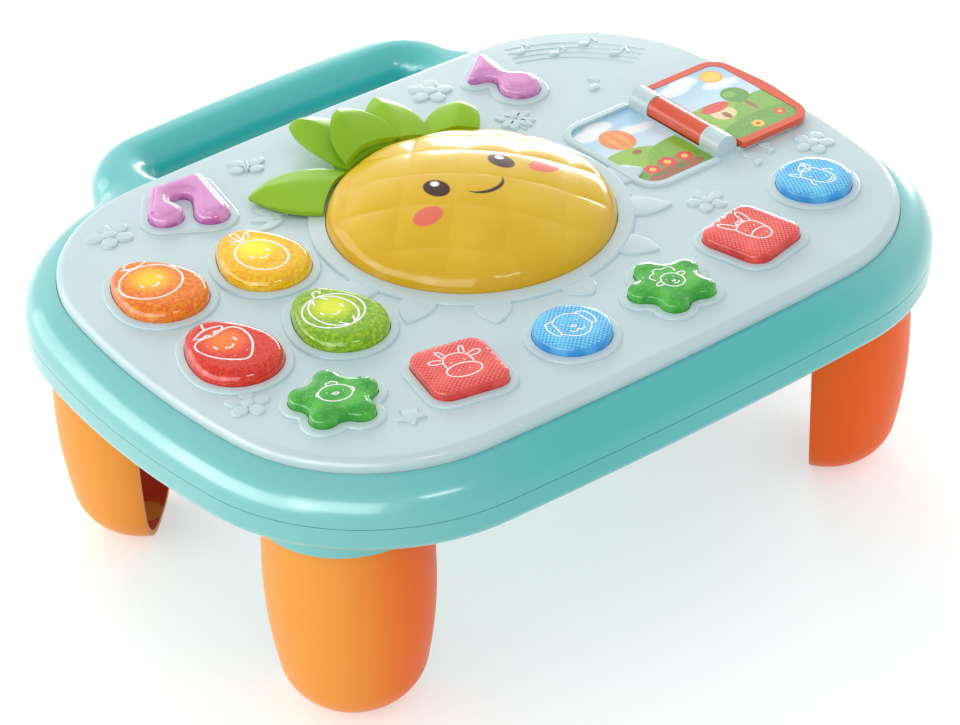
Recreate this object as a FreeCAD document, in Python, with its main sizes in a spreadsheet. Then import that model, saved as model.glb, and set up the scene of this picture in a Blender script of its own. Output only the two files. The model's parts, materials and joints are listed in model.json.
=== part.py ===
import FreeCAD, Part
import math
import os
import re
from FreeCAD import Placement, Rotation, Vector

# A toddler's musical activity table: a pale keyed panel in a turquoise rim with a carry
# handle at the back, standing on four plug-in barrel legs.
# Everything is drawn in plan coordinates: X along the table, Y towards the handle, and
# Z = 0 in the seam between the panel and the rim. Each sub-part is then placed so that the
# whole table stands on Z = 0, centred under its outline.

doc = FreeCAD.newDocument("activity_table")
sheet = doc.addObject("Spreadsheet::Sheet", "Sizes")
aliases = []


def size(alias, value, note):
    """Put one driving size into the sheet and give its value back."""
    aliases.append(alias)
    row = len(aliases)
    sheet.set(f"A{row}", note)
    sheet.set(f"B{row}", str(value))
    sheet.setAlias(f"B{row}", alias)
    return float(value)


# The table as a whole
panel_length = size("panel_length", 380, "seam outline along X")
panel_width = size("panel_width", 276, "seam outline along Y")
panel_corner = size("panel_corner", 85, "corner radius of the seam outline")
panel_long_bow = size("panel_long_bow", 2500, "radius of the slightly bowed long sides")
panel_short_bow = size("panel_short_bow", 420, "radius of the bowed short sides")
seam_height = size("seam_height", 142, "floor to the seam between panel and rim")
rim_reach = size("rim_reach", 16, "rim's widest line outside the seam")
wall = size("wall", 2.5, "wall of the moulded shells")
fit = size("fit", 0.3, "gap between pieces that meet or slide")
small_corner = size("small_corner", 1, "corner radius of small square pieces")

# The rim and the lower casing
upper_depth = size("upper_depth", 18, "seam down to the parting line")
lower_depth = size("lower_depth", 13.8, "parting line down to the underside")
rim_drop = size("rim_drop", 0.6, "rim crest below the seam")
rim_round = size("rim_round", 15.5, "bullnose radius of the rim")
base_round = size("base_round", 6, "radius under the lower casing")
ledge_reach = size("ledge_reach", 8, "ledge that carries the panel, inside the seam")
ledge_thickness = size("ledge_thickness", 2.5, "thickness of that ledge")

# The carry handle at the back
handle_reach = size("handle_reach", 197, "handle's back face from the panel's middle")
handle_side = size("handle_side", 110, "handle's side face from the middle")
handle_corner = size("handle_corner", 40, "outer corner radius of the handle")
handle_corner_back = size("handle_corner_back", 42, "corner centre in front of the back face")
handle_neck = size("handle_neck", 14, "hollow radius where handle and rim meet")
grip_width = size("grip_width", 30, "width of the handle's bar")
grip_round = size("grip_round", 13, "rounding on the finger side of the bar")
slot_web = size("slot_web", 5, "rim left between the seam and the finger slot")
slot_corner = size("slot_corner", 10, "corner radius of the finger slot at the rim")

# The panel
plateau = size("plateau", 5.5, "panel's top above the seam")
panel_edge = size("panel_edge", 4.5, "rounding of the panel's top edge")
panel_skirt = size("panel_skirt", 12, "panel's wall below the seam")
bezel_width = size("bezel_width", 4, "raised ring round each button")
bezel_height = size("bezel_height", 1.5, "height of those rings")
bezel_round = size("bezel_round", 1.2, "rounding of those rings")

# Buttons
button_rise = size("button_rise", 6, "animal button's top above the panel")
button_edge = size("button_edge", 2, "rounding of the animal buttons")
button_travel = size("button_travel", 2, "stroke of every button")
button_flange = size("button_flange", 2, "flange outside the button's outline")
flange_thickness = size("flange_thickness", 1.5, "thickness of the flanges")
stem_radius = size("stem_radius", 3, "radius of the stems under the buttons")
key_pad_radius = size("key_pad_radius", 4, "radius of the rubber key pads")
key_pad_tip = size("key_pad_tip", 2.8, "radius of the key pads at the top")
key_pad_height = size("key_pad_height", 3, "height of the rubber key pads")
arc_radius = size("arc_radius", 389, "radius of the arc that the animal buttons follow")
arc_front = size("arc_front", 101, "arc's foremost point in front of the middle")
arc_pitch = size("arc_pitch", 8.4, "angle from one animal button to the next")
round_radius = size("round_radius", 17.85, "radius of the round buttons")
square_side = size("square_side", 36.5, "side of the square buttons")
square_corner = size("square_corner", 8, "corner radius of the square buttons")
star_tip_reach = size("star_tip_reach", 14.2, "middle of a star button to its tips' centres")
star_tip = size("star_tip", 6.4, "tip radius of the star buttons")
star_valley = size("star_valley", 7, "hollow radius between two tips")
egg_wide = size("egg_wide", 20.5, "front radius of the fruit buttons")
egg_narrow = size("egg_narrow", 13, "back radius of the fruit buttons")
egg_side = size("egg_side", 46, "side radius of the fruit buttons")
egg_stretch = size("egg_stretch", 17, "distance between their front and back centres")
fruit_rise = size("fruit_rise", 8, "fruit button's top above the panel")
fruit_edge = size("fruit_edge", 5.5, "rounding of the fruit buttons")
note_head = size("note_head", 8.3, "radius of the beamed note's heads")
note_beam = size("note_beam", 5, "corner radius of its beam")
note_notch = size("note_notch", 5, "hollow radius between its heads")
bow_lobe = size("bow_lobe", 10.2, "radius of the bow's round lobe")
bow_corner = size("bow_corner", 3, "corner radius of the bow's other lobe")
bow_waist = size("bow_waist", 5, "hollow radius of its waist")
note_rise = size("note_rise", 6.5, "purple button's top above the panel")
note_edge = size("note_edge", 2.6, "rounding of the purple buttons")
orange_x = size("orange_x", -150.5, "orange button")
orange_y = size("orange_y", 50, "orange button")
yellow_x = size("yellow_x", -99.5, "yellow button")
yellow_y = size("yellow_y", 41, "yellow button")
red_x = size("red_x", -153.5, "red button")
red_y = size("red_y", -13, "red button")
lime_x = size("lime_x", -102, "lime button")
lime_y = size("lime_y", -21.5, "lime button")
note_x = size("note_x", -97, "beamed-note button")
note_y = size("note_y", 102, "beamed-note button")
bow_x = size("bow_x", 88, "bow button")
bow_y = size("bow_y", 100, "bow button")

# The pineapple
dome_y = size("dome_y", 8, "dome's middle behind the panel's middle")
dome_radius = size("dome_radius", 68, "dome's radius at the panel")
dome_rise = size("dome_rise", 24, "dome's top above the panel")
dome_side = size("dome_side", 14, "rounding of the dome above the panel")
dome_wall = size("dome_wall", 2.5, "dome's wall")
dome_ring = size("dome_ring", 8, "width of the raised ring round the dome")
dome_stem_reach = size("dome_stem_reach", 44, "dome's stems from its middle")
leaf_thickness = size("leaf_thickness", 5, "thickness of the leaves")
leaf_root = size("leaf_root", 58, "circle that the leaves spring from, round the dome's middle")
leaf_plate = size("leaf_plate", 32, "radius of the plate that joins the leaves")
leaf_gap = size("leaf_gap", 0.8, "gap between the leaves and the dome")

# The flip book
hinge_x = size("hinge_x", 128.3, "book's hinge axis")
hinge_rise = size("hinge_rise", 3.3, "hinge axis above the panel")
book_y = size("book_y", 6, "book's middle along the hinge")
page_length = size("page_length", 53.5, "page's free edge from the hinge axis")
page_width = size("page_width", 72, "page along the hinge")
page_thickness = size("page_thickness", 3, "thickness of the page")
page_corner = size("page_corner", 11, "outer corner radius of the page")
page_frame = size("page_frame", 4.5, "coloured frame round the page's pictures")
page_inner_frame = size("page_inner_frame", 0.5, "frame at the page's inner edge")
page_gap = size("page_gap", 1.6, "page's inner edge from its spine")
page_tab = size("page_tab", 2, "finger tab beyond the page's edge")
tab_width = size("tab_width", 17, "width of the finger tab")
tab_round = size("tab_round", 4, "corner radius of the finger tab")
neck_reach = size("neck_reach", 4, "neck between the spine and the page")
barrel_radius = size("barrel_radius", 6, "radius of the book's spine")
barrel_length = size("barrel_length", 38, "length of the spine")
block_length = size("block_length", 13, "length of each hinge block on the panel")
pin_radius = size("pin_radius", 1.5, "radius of the hinge pin")
picture_x = size("picture_x", 101.3, "middle of the fixed left picture")
picture_length = size("picture_length", 41, "fixed pictures along X")
picture_width = size("picture_width", 65, "fixed pictures along Y")
picture_corner = size("picture_corner", 9, "outer corner radius of the pictures")
picture_thickness = size("picture_thickness", 0.3, "printed card")
picture_recess = size("picture_recess", 0.5, "depth of the pictures' recesses")
book_rim = size("book_rim", 4, "raised rim round the left picture")

# The legs
leg_x = size("leg_x", 144, "leg's axis from the middle along X")
leg_y = size("leg_y", 85, "leg's axis from the middle along Y")
leg_radius = size("leg_radius", 38.4, "leg's greatest radius")
leg_belly = size("leg_belly", 70, "height of the greatest radius above the floor")
leg_top_radius = size("leg_top_radius", 36, "leg's radius under the casing")
leg_sole = size("leg_sole", 8, "radius of the flat of the sole")
leg_foot_round = size("leg_foot_round", 26, "rounding above the sole")
leg_cut = size("leg_cut", 7.5, "open side's plane, inward of the axis")
plug_radius = size("plug_radius", 25, "radius of the plug on top of each leg")
plug_height = size("plug_height", 11, "height of that plug")
collar_depth = size("collar_depth", 6, "collar round each leg's top, below the casing")
collar_wall = size("collar_wall", 4, "thickness of that collar")

# Inside
board_inset = size("board_inset", 22, "board's edge inside the seam")
board_drop = size("board_drop", 10, "board's upper face below the seam")
board_thickness = size("board_thickness", 1.6, "thickness of the board")
boss_radius = size("boss_radius", 4, "radius of the screw bosses")
screw_radius = size("screw_radius", 1.5, "radius of the screws' shanks")
screw_head_radius = size("screw_head_radius", 3, "radius of the screws' heads")
screw_head_height = size("screw_head_height", 2, "height of the screws' heads")
case_screw_length = size("case_screw_length", 21, "case screws from head to tip")
case_screw_x = size("case_screw_x", 58, "front and back case screws along X")
case_screw_y = size("case_screw_y", 125, "front and back case screws along Y")
end_screw_x = size("end_screw_x", 177.4, "case screws at the ends of the table")
board_post_x = size("board_post_x", 62, "board posts along X")
board_post_y = size("board_post_y", 104, "back board posts along Y")
board_post_front = size("board_post_front", 66, "front board posts in front of the middle")
cell_radius = size("cell_radius", 7, "radius of a battery cell")
cell_length = size("cell_length", 50, "length of a battery cell")
cell_pitch = size("cell_pitch", 15, "battery cells side by side")
cell_count = int(size("cell_count", 3, "battery cells"))
contact_radius = size("contact_radius", 4.6, "radius of the contacts")
battery_x = size("battery_x", -38, "battery box's middle")
battery_y = size("battery_y", 10, "battery box's middle")
battery_margin = size("battery_margin", 4, "battery bay beyond the cells' ends, for the contacts")
battery_side = size("battery_side", 1, "battery bay beside the outer cells")
bay_corner = size("bay_corner", 2, "corner radius of the battery bay")
door_ledge = size("door_ledge", 2.5, "ledge that the battery door rests on")
door_lug = size("door_lug", 10, "door behind the bay, where its screw goes")
door_thickness = size("door_thickness", 2, "thickness of the battery door")
speaker_x = size("speaker_x", 62, "speaker's middle")
speaker_y = size("speaker_y", 10, "speaker's middle")
speaker_radius = size("speaker_radius", 25, "radius of the speaker")
speaker_height = size("speaker_height", 12, "height of the speaker")
speaker_neck = size("speaker_neck", 12.5, "radius of the basket's neck")
speaker_lip = size("speaker_lip", 2, "lip of the basket")
magnet_height = size("magnet_height", 4.8, "height of the magnet")
cone_wall = size("cone_wall", 1, "thickness of the cone")
grille_hole = size("grille_hole", 2, "radius of the sound holes")
grille_pitch = size("grille_pitch", 8, "sound holes from one to the next")
switch_x = size("switch_x", 8, "power switch on the underside")
switch_y = size("switch_y", -60, "power switch on the underside")
switch_travel = size("switch_travel", 6, "slide of the power switch")
knob_length = size("knob_length", 8, "power knob along X")
knob_width = size("knob_width", 6, "power knob along Y")
knob_height = size("knob_height", 5.8, "power knob along Z")
knob_proud = size("knob_proud", 0.8, "power knob below the underside")
switch_height = size("switch_height", 6, "height of the switch's body")
switch_wall = size("switch_wall", 2.5, "wall of the switch's body")
led_radius = size("led_radius", 2.5, "radius of the lamps")
led_height = size("led_height", 5, "height of the lamps")
lamp_aside = size("lamp_aside", 9, "lamps beside the fruit buttons' stems")
dome_lamp_reach = size("dome_lamp_reach", 24, "dome's lamps from its middle")
doc.recompute()

half_length = panel_length / 2
half_width = panel_width / 2
underside = -(upper_depth + lower_depth)
panel_under = plateau - wall
plan_shift = -(handle_reach - half_width - rim_reach) / 2
home = Placement(Vector(0, plan_shift, seam_height), Rotation())
sub_parts = []


def formula(text):
    """Write the sheet's name before each alias in a formula."""
    return re.sub(r"[A-Za-z_]\w*", lambda word: "Sizes." + word.group(), text)


def bind(target, prop, text):
    target.setExpression(prop, formula(text))


def sub_part(node, label):
    """Name a finished object, put it in its place and keep it for the export."""
    node.Label = label
    node.Placement = home
    sub_parts.append(node)
    return node


# Outlines. Each is a closed belt round circles, anticlockwise: a positive radius bulges
# out, a negative one is a hollow, and adding a distance to every radius offsets the outline.

def belt(circles, grow=0.0):
    """Edges of the belt round (x, y, signed radius) circles, grown by a distance."""
    rounds = [(Vector(x, y, 0), r + grow) for x, y, r in circles]
    count = len(rounds)
    normals = []
    for i in range(count):
        (a, ra), (b, rb) = rounds[i], rounds[(i + 1) % count]
        across = b - a
        along = (ra - rb) / across.Length
        if abs(along) > 1 - 1e-9:
            along = math.copysign(1, along)
        across.normalize()
        aside = Vector(across.y, -across.x, 0)
        normals.append(across * along + aside * math.sqrt(1 - along * along))
    edges = []
    for i in range(count):
        centre, radius = rounds[i]
        turn = math.atan2(normals[i].y, normals[i].x)
        start = math.atan2(normals[i - 1].y, normals[i - 1].x)
        sweep = (turn - start) % (2 * math.pi)
        if radius < 0:
            sweep -= 2 * math.pi
        if abs(sweep) > 1e-6 and abs(abs(sweep) - 2 * math.pi) > 1e-6:
            first, middle, last = [
                centre + Vector(math.cos(start + part * sweep), math.sin(start + part * sweep), 0) * radius
                for part in (0, 0.5, 1)]
            edges.append(Part.Arc(first, middle, last))
        follower, follow_radius = rounds[(i + 1) % count]
        leave = centre + normals[i] * radius
        arrive = follower + normals[i] * follow_radius
        if leave.distanceToPoint(arrive) > 1e-6:
            edges.append(Part.LineSegment(leave, arrive))
    return edges


def moved(circles, x, y, turn=0.0):
    """The same circles turned about the origin and then moved."""
    c, s = math.cos(math.radians(turn)), math.sin(math.radians(turn))
    return [(x + c * px - s * py, y + s * px + c * py, r) for px, py, r in circles]


def touching(a, ra, b, rb, side):
    """Centre at distance ra from a and rb from b, on the given side of the line a to b."""
    line = b - a
    reach = line.Length
    along = (ra * ra - rb * rb + reach * reach) / (2 * reach)
    out = math.sqrt(ra * ra - along * along)
    line.normalize()
    return a + line * along + Vector(-line.y, line.x, 0) * (out * side)


def corner_centre(sign):
    """Centre of the right corner circle, at the back for +1 and at the front for -1."""
    long_centre = Vector(0, sign * (half_width - panel_long_bow), 0)
    short_centre = Vector(half_length - panel_short_bow, 0, 0)
    return touching(long_centre, panel_long_bow - panel_corner,
                    short_centre, panel_short_bow - panel_corner, -sign)


front_corner = corner_centre(-1)
back_corner = corner_centre(1)
front_side = (0, panel_long_bow - half_width, panel_long_bow)
back_side = (0, half_width - panel_long_bow, panel_long_bow)
right_side = (half_length - panel_short_bow, 0, panel_short_bow)
left_side = (panel_short_bow - half_length, 0, panel_short_bow)
seam_outline = [
    front_side, (front_corner.x, front_corner.y, panel_corner), right_side,
    (back_corner.x, back_corner.y, panel_corner), back_side,
    (-back_corner.x, back_corner.y, panel_corner), left_side,
    (-front_corner.x, front_corner.y, panel_corner)]

# The casing's outer outline: the seam grown by the rim, with the handle bulging out behind.
handle_round = (handle_side - handle_corner, handle_reach - handle_corner_back, handle_corner)
# The back of the handle is one large arc that passes through the middle of the back face
# and touches both corner circles.
chord = handle_round[0]
sag = handle_corner_back - handle_corner
handle_bow = (chord ** 2 + handle_corner_back ** 2 - handle_corner ** 2) / (2 * sag)
handle_back = (0, handle_reach - handle_bow, handle_bow)
neck = touching(back_corner, panel_corner + rim_reach + handle_neck,
                Vector(handle_round[0], handle_round[1], 0), handle_corner + handle_neck, -1)
casing_outline = [
    (front_side[0], front_side[1], front_side[2] + rim_reach),
    (front_corner.x, front_corner.y, panel_corner + rim_reach),
    (right_side[0], right_side[1], right_side[2] + rim_reach),
    (back_corner.x, back_corner.y, panel_corner + rim_reach),
    (neck.x, neck.y, -handle_neck), handle_round, handle_back,
    (-handle_round[0], handle_round[1], handle_corner), (-neck.x, neck.y, -handle_neck),
    (-back_corner.x, back_corner.y, panel_corner + rim_reach),
    (left_side[0], left_side[1], left_side[2] + rim_reach),
    (-front_corner.x, front_corner.y, panel_corner + rim_reach)]

# The finger slot runs parallel to the handle's back and to the seam.
slot_end = handle_round[0]
slot_bow = panel_long_bow + slot_web + slot_corner
slot_front_y = half_width - panel_long_bow + math.sqrt(slot_bow ** 2 - slot_end ** 2)
slot_outline = [
    (-slot_end, slot_front_y, slot_corner),
    (0, half_width - panel_long_bow, -(panel_long_bow + slot_web)),
    (slot_end, slot_front_y, slot_corner),
    (slot_end, handle_round[1], handle_corner - grip_width),
    (0, handle_back[1], handle_bow - grip_width),
    (-slot_end, handle_round[1], handle_corner - grip_width)]


def square_outline(side, corner):
    reach = side / 2 - corner
    return [(-reach, -reach, corner), (reach, -reach, corner),
            (reach, reach, corner), (-reach, reach, corner)]


def box_outline(low_x, low_y, high_x, high_y, radii):
    """Rectangle with a corner radius each: front left, front right, back right, back left."""
    a, b, c, d = radii
    return [(low_x + a, low_y + a, a), (high_x - b, low_y + b, b),
            (high_x - c, high_y - c, c), (low_x + d, high_y - d, d)]


def star_outline():
    """Five round tips with a round hollow between each two, one tip to the back."""
    step = math.pi / 5
    reach = star_tip + star_valley
    side = star_tip_reach * math.sin(step)
    valley = star_tip_reach * math.cos(step) + math.sqrt(reach ** 2 - side ** 2)
    circles = []
    for tip in range(5):
        at = math.pi / 2 + 2 * step * tip
        circles.append((star_tip_reach * math.cos(at), star_tip_reach * math.sin(at), star_tip))
        circles.append((valley * math.cos(at + step), valley * math.sin(at + step), -star_valley))
    return circles


def egg_outline():
    """Broad round front, bowed sides and a narrow round back."""
    wide = Vector(0, -egg_stretch / 2, 0)
    narrow = Vector(0, egg_stretch / 2, 0)
    side = touching(wide, egg_side - egg_wide, narrow, egg_side - egg_narrow, 1)
    return [(wide.x, wide.y, egg_wide), (side.x, side.y, egg_side),
            (narrow.x, narrow.y, egg_narrow), (-side.x, side.y, egg_side)]


def point_on(centre, radius, turn):
    """Point of a circle at an angle."""
    return centre + Vector(math.cos(turn), math.sin(turn), 0) * radius


def circle_outline(radius):
    """A circle as a belt of two nearly equal halves round one centre pair."""
    half_gap = radius / 1000
    return [(-half_gap, 0, radius), (half_gap, 0, radius)]


def note_outline():
    """Two note heads under a broad beam, with a round notch between the heads."""
    return [(-13.5, -4, note_head), (-1, 1.2, -note_notch), (4.5, -15.7, note_head),
            (13.5, 11.5, note_beam), (-5, 13, note_beam)]


def bow_outline():
    """A round lobe in front and a three-cornered one behind, with a waist between them."""
    return [(3.5, -14.3, bow_lobe), (10.2, 0, -bow_waist), (5, 17.5, bow_corner),
            (-9, 6, bow_corner), (-7.4, -2.8, -bow_waist)]


# Features. The helpers below make a body, its sketches on the body's own origin plane, and
# the pads and pockets on them, with every height bound to the sheet.

def make_body(label):
    return doc.addObject("PartDesign::Body", label)


def origin_plane(owner, role):
    return next(f for f in owner.Origin.OriginFeatures if f.Role == role)


def sketch(owner, name, outlines, height="0", role="XY_Plane"):
    """A sketch of closed outlines at a height bound to the sheet."""
    made = owner.newObject("Sketcher::SketchObject", name)
    made.AttachmentSupport = [(origin_plane(owner, role), "")]
    made.MapMode = "FlatFace"
    bind(made, "AttachmentOffset.Base.z", height)
    for outline in outlines:
        made.addGeometry(outline, False)
    return made


def disc(x, y, radius):
    return [Part.Circle(Vector(x, y, 0), Vector(0, 0, 1), radius)]


def pad(owner, name, outlines, base, length, role="XY_Plane"):
    """Raise outlines from a base height by a length, both as formulas."""
    feature = owner.newObject("PartDesign::Pad", name)
    feature.Profile = sketch(owner, name + "_sketch", outlines, base, role)
    bind(feature, "Length", length)
    return feature


def pocket(owner, name, outlines, top, depth):
    """Sink outlines from a top height down by a depth, both as formulas."""
    feature = owner.newObject("PartDesign::Pocket", name)
    feature.Profile = sketch(owner, name + "_sketch", outlines, top)
    bind(feature, "Length", depth)
    feature.Reversed = False
    return feature


def edges_at(shape, height, keep=None):
    """Names of the edges that lie wholly at a height, and pass a test of their middle."""
    names = []
    for i, edge in enumerate(shape.Edges, 1):
        box = edge.BoundBox
        if abs(box.ZMin - height) < 1e-4 and abs(box.ZMax - height) < 1e-4:
            middle = edge.valueAt((edge.FirstParameter + edge.LastParameter) / 2)
            if keep is None or keep(middle):
                names.append(f"Edge{i}")
    return names


def fillet(owner, name, radius, height, keep=None):
    """Round the edges that lie at a height by a radius from the sheet."""
    doc.recompute()
    base = owner.Tip
    names = edges_at(base.Shape, height, keep)
    feature = owner.newObject("PartDesign::Fillet", name)
    feature.Base = (base, names)
    bind(feature, "Radius", radius)
    return feature


def cut(label, base, *tools):
    """Take tools off a base, one boolean each."""
    for number, tool in enumerate(tools, 1):
        made = doc.addObject("Part::Cut", f"{label}_cut{number}")
        made.Base = base
        made.Tool = tool
        base = made
    return base


def inside(circles):
    """A test for points inside the face of an outline."""
    face = Part.Face(Part.Wire([e.toShape() for e in belt(circles)]))
    return lambda p: face.isInside(Vector(p.x, p.y, 0), 1e-3, True)


near_slot = inside([(x, y, r + grip_width / 2) for x, y, r in slot_outline])


# Rim: a bullnose ring that carries the panel, with the upper half of the handle

def make_upper_casing():
    shell = make_body("upper_shell")
    pad(shell, "upper_block", [belt(casing_outline), belt(slot_outline)],
        "0 - upper_depth", "upper_depth - rim_drop")
    fillet(shell, "upper_bullnose", "rim_round", -rim_drop, lambda p: not near_slot(p))
    fillet(shell, "upper_grip_round", "grip_round", -rim_drop, near_slot)

    hollow = make_body("upper_hollow")
    pad(hollow, "upper_hollow_block", [belt(casing_outline, -wall), belt(slot_outline, wall)],
        "0 - upper_depth - fit", "upper_depth + fit - rim_drop - wall")
    fillet(hollow, "upper_hollow_round", "rim_round - wall", -rim_drop - wall,
           lambda p: not near_slot(p))
    fillet(hollow, "upper_hollow_grip", "grip_round - wall", -rim_drop - wall, near_slot)
    pocket(hollow, "upper_inner_wall", [belt(seam_outline, wall + fit / 2)],
           "plateau", "plateau + upper_depth + 2 * fit")

    opening = make_body("upper_opening")
    pad(opening, "upper_seat", [belt(seam_outline, fit / 2)],
        "0 - panel_skirt", "panel_skirt + plateau")
    pad(opening, "upper_window", [belt(seam_outline, -ledge_reach)],
        "0 - upper_depth - fit", "upper_depth + fit")
    under = make_body("upper_ledge_relief")
    pad(under, "upper_relief", [belt(seam_outline, fit / 2)],
        "0 - upper_depth - fit", "upper_depth + fit - panel_skirt - ledge_thickness")
    return sub_part(cut("upper_casing", shell, hollow, opening, under), "upper_casing")


# Legs: open-backed barrels with a plug on top

leg_places = {"front_left": (-1, -1), "front_right": (1, -1), "back_left": (-1, 1),
              "back_right": (1, 1)}


def leg_axis(place):
    sx, sy = leg_places[place]
    return sx * leg_x, sy * leg_y


def inward_turn(place):
    """Turn that brings local +X to the leg's open side, square to the corner."""
    sx, sy = leg_places[place]
    return math.degrees(math.atan2(-sy, -sx))


def d_outline(radius, cut_at):
    """Disc of a radius cut by a line at a distance on its +X side."""
    half = math.acos(cut_at / radius)
    start = Vector(radius * math.cos(half), radius * math.sin(half), 0)
    end = Vector(start.x, -start.y, 0)
    return [Part.Arc(start, Vector(-radius, 0, 0), end), Part.LineSegment(end, start)]


def c_outline(outer, inner, cut_at):
    """Ring open on its +X side, cut off by a line at a distance."""
    out = math.acos(cut_at / outer)
    back = math.acos(cut_at / inner)
    centre = Vector(0, 0, 0)
    corners = [point_on(centre, outer, out), point_on(centre, outer, -out),
               point_on(centre, inner, -back), point_on(centre, inner, back)]
    return [Part.Arc(corners[0], Vector(-outer, 0, 0), corners[1]),
            Part.LineSegment(corners[1], corners[2]),
            Part.Arc(corners[2], Vector(-inner, 0, 0), corners[3]),
            Part.LineSegment(corners[3], corners[0])]


def placed(outline, place):
    """A leg's local outline turned and moved to its corner."""
    x, y = leg_axis(place)
    matrix = Placement(Vector(x, y, 0), Rotation(Vector(0, 0, 1), inward_turn(place))).toMatrix()
    for edge in outline:
        edge.transform(matrix)
    return outline


def upper_bow_of_leg():
    """Radius of the barrel's side above its belly."""
    rise = underside - fit - (leg_belly - seam_height)
    shrink = leg_radius - leg_top_radius
    return (rise ** 2 + shrink ** 2) / (2 * shrink)


def leg_radius_at(height):
    """Barrel's radius at a height above its belly."""
    bow = upper_bow_of_leg()
    return leg_radius - bow + math.sqrt(bow ** 2 - (height - leg_belly + seam_height) ** 2)


def barrel(label, grow, top_gap):
    """Barrel of revolution about its own axis, thinned by grow, its top lowered by a gap."""
    owner = make_body(label)
    belly = leg_belly - seam_height
    top = underside - fit - top_gap
    over = leg_sole - leg_radius
    under = leg_foot_round - leg_belly
    lower_bow = (leg_foot_round ** 2 - over ** 2 - under ** 2) / (2 * (over + leg_foot_round))
    lower_centre = Vector(leg_radius - lower_bow, belly, 0)
    foot_centre = Vector(leg_sole, leg_foot_round - seam_height, 0)
    slope = math.atan2(foot_centre.y - lower_centre.y, foot_centre.x - lower_centre.x)
    upper_bow = upper_bow_of_leg() + grow
    upper_centre = Vector(leg_radius + grow - upper_bow, belly, 0)
    top_turn = math.asin((top - belly) / upper_bow)
    crown = point_on(upper_centre, upper_bow, top_turn)
    waist = point_on(upper_centre, upper_bow, 0)
    knee = point_on(lower_centre, lower_bow + grow, slope)
    sole = point_on(foot_centre, leg_foot_round + grow, -math.pi / 2)
    foot_turn = (slope - math.pi / 2) / 2
    section = sketch(owner, label + "_section", [[
        Part.LineSegment(Vector(0, top, 0), Vector(0, sole.y, 0)),
        Part.LineSegment(Vector(0, sole.y, 0), sole),
        Part.Arc(sole, point_on(foot_centre, leg_foot_round + grow, foot_turn), knee),
        Part.Arc(knee, point_on(lower_centre, lower_bow + grow, slope / 2), waist),
        Part.Arc(waist, point_on(upper_centre, upper_bow, top_turn / 2), crown),
        Part.LineSegment(crown, Vector(0, top, 0))]], "0", "XZ_Plane")
    turned = owner.newObject("PartDesign::Revolution", label + "_turned")
    turned.Profile = section
    turned.ReferenceAxis = (section, ["V_Axis"])
    turned.Angle = 360
    return owner


def make_leg(place):
    """Shell open on the inner side, closed by a top plate, with a plug above it."""
    name = "leg_" + place
    outer = barrel(name + "_outer", 0, 0)
    hollow = barrel(name + "_hollow", -wall, wall)
    open_side = doc.addObject("Part::Box", name + "_open_side")
    bind(open_side, "Length", "leg_radius * 2")
    bind(open_side, "Width", "leg_radius * 4")
    bind(open_side, "Height", "seam_height * 2")
    open_side.Placement = Placement(Vector(leg_cut, -2 * leg_radius, -2 * seam_height + underside),
                                    Rotation())
    half = cut(name + "_half", outer, open_side)
    shell = cut(name + "_shell", half, hollow)
    plug = make_body(name + "_plug")
    pad(plug, name + "_plug_pad",
        [d_outline(plug_radius, leg_cut), d_outline(plug_radius - wall, leg_cut - wall)],
        "0 - upper_depth - lower_depth - fit - wall", "plug_height + wall")
    whole = doc.addObject("Part::Fuse", name)
    whole.Base = shell
    whole.Tool = plug
    made = sub_part(whole, name)
    x, y = leg_axis(place)
    turn = Rotation(Vector(0, 0, 1), inward_turn(place))
    made.Placement = home.multiply(Placement(Vector(x, y, 0), turn))
    return made


# Lower casing: a tray with leg sockets, a battery box, a speaker grille and screw bosses

case_screws = [(sx * case_screw_x, sy * case_screw_y) for sx in (-1, 1) for sy in (-1, 1)]
case_screws += [(-end_screw_x, 0), (end_screw_x, 0)]
cells_width = cell_count * cell_pitch
bay_half_x = cells_width / 2 + battery_side
bay_half_y = cell_length / 2 + battery_margin
door_screw_y = battery_y + bay_half_y + door_ledge + door_lug / 2


def bay_outline(grow, behind=0.0):
    """Battery bay grown by a distance, and further behind where the door's screw goes."""
    return box_outline(battery_x - bay_half_x - grow, battery_y - bay_half_y - grow,
                       battery_x + bay_half_x + grow, battery_y + bay_half_y + grow + behind,
                       [grow + bay_corner] * 4)


def grille_places():
    """Sound holes in rings round the speaker's middle."""
    places = [(speaker_x, speaker_y)]
    rings = int((speaker_radius - 2 * grille_hole) // grille_pitch)
    for ring in range(1, rings + 1):
        for step in range(6 * ring):
            at = 2 * math.pi * step / (6 * ring)
            places.append((speaker_x + ring * grille_pitch * math.cos(at),
                           speaker_y + ring * grille_pitch * math.sin(at)))
    return places


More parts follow.
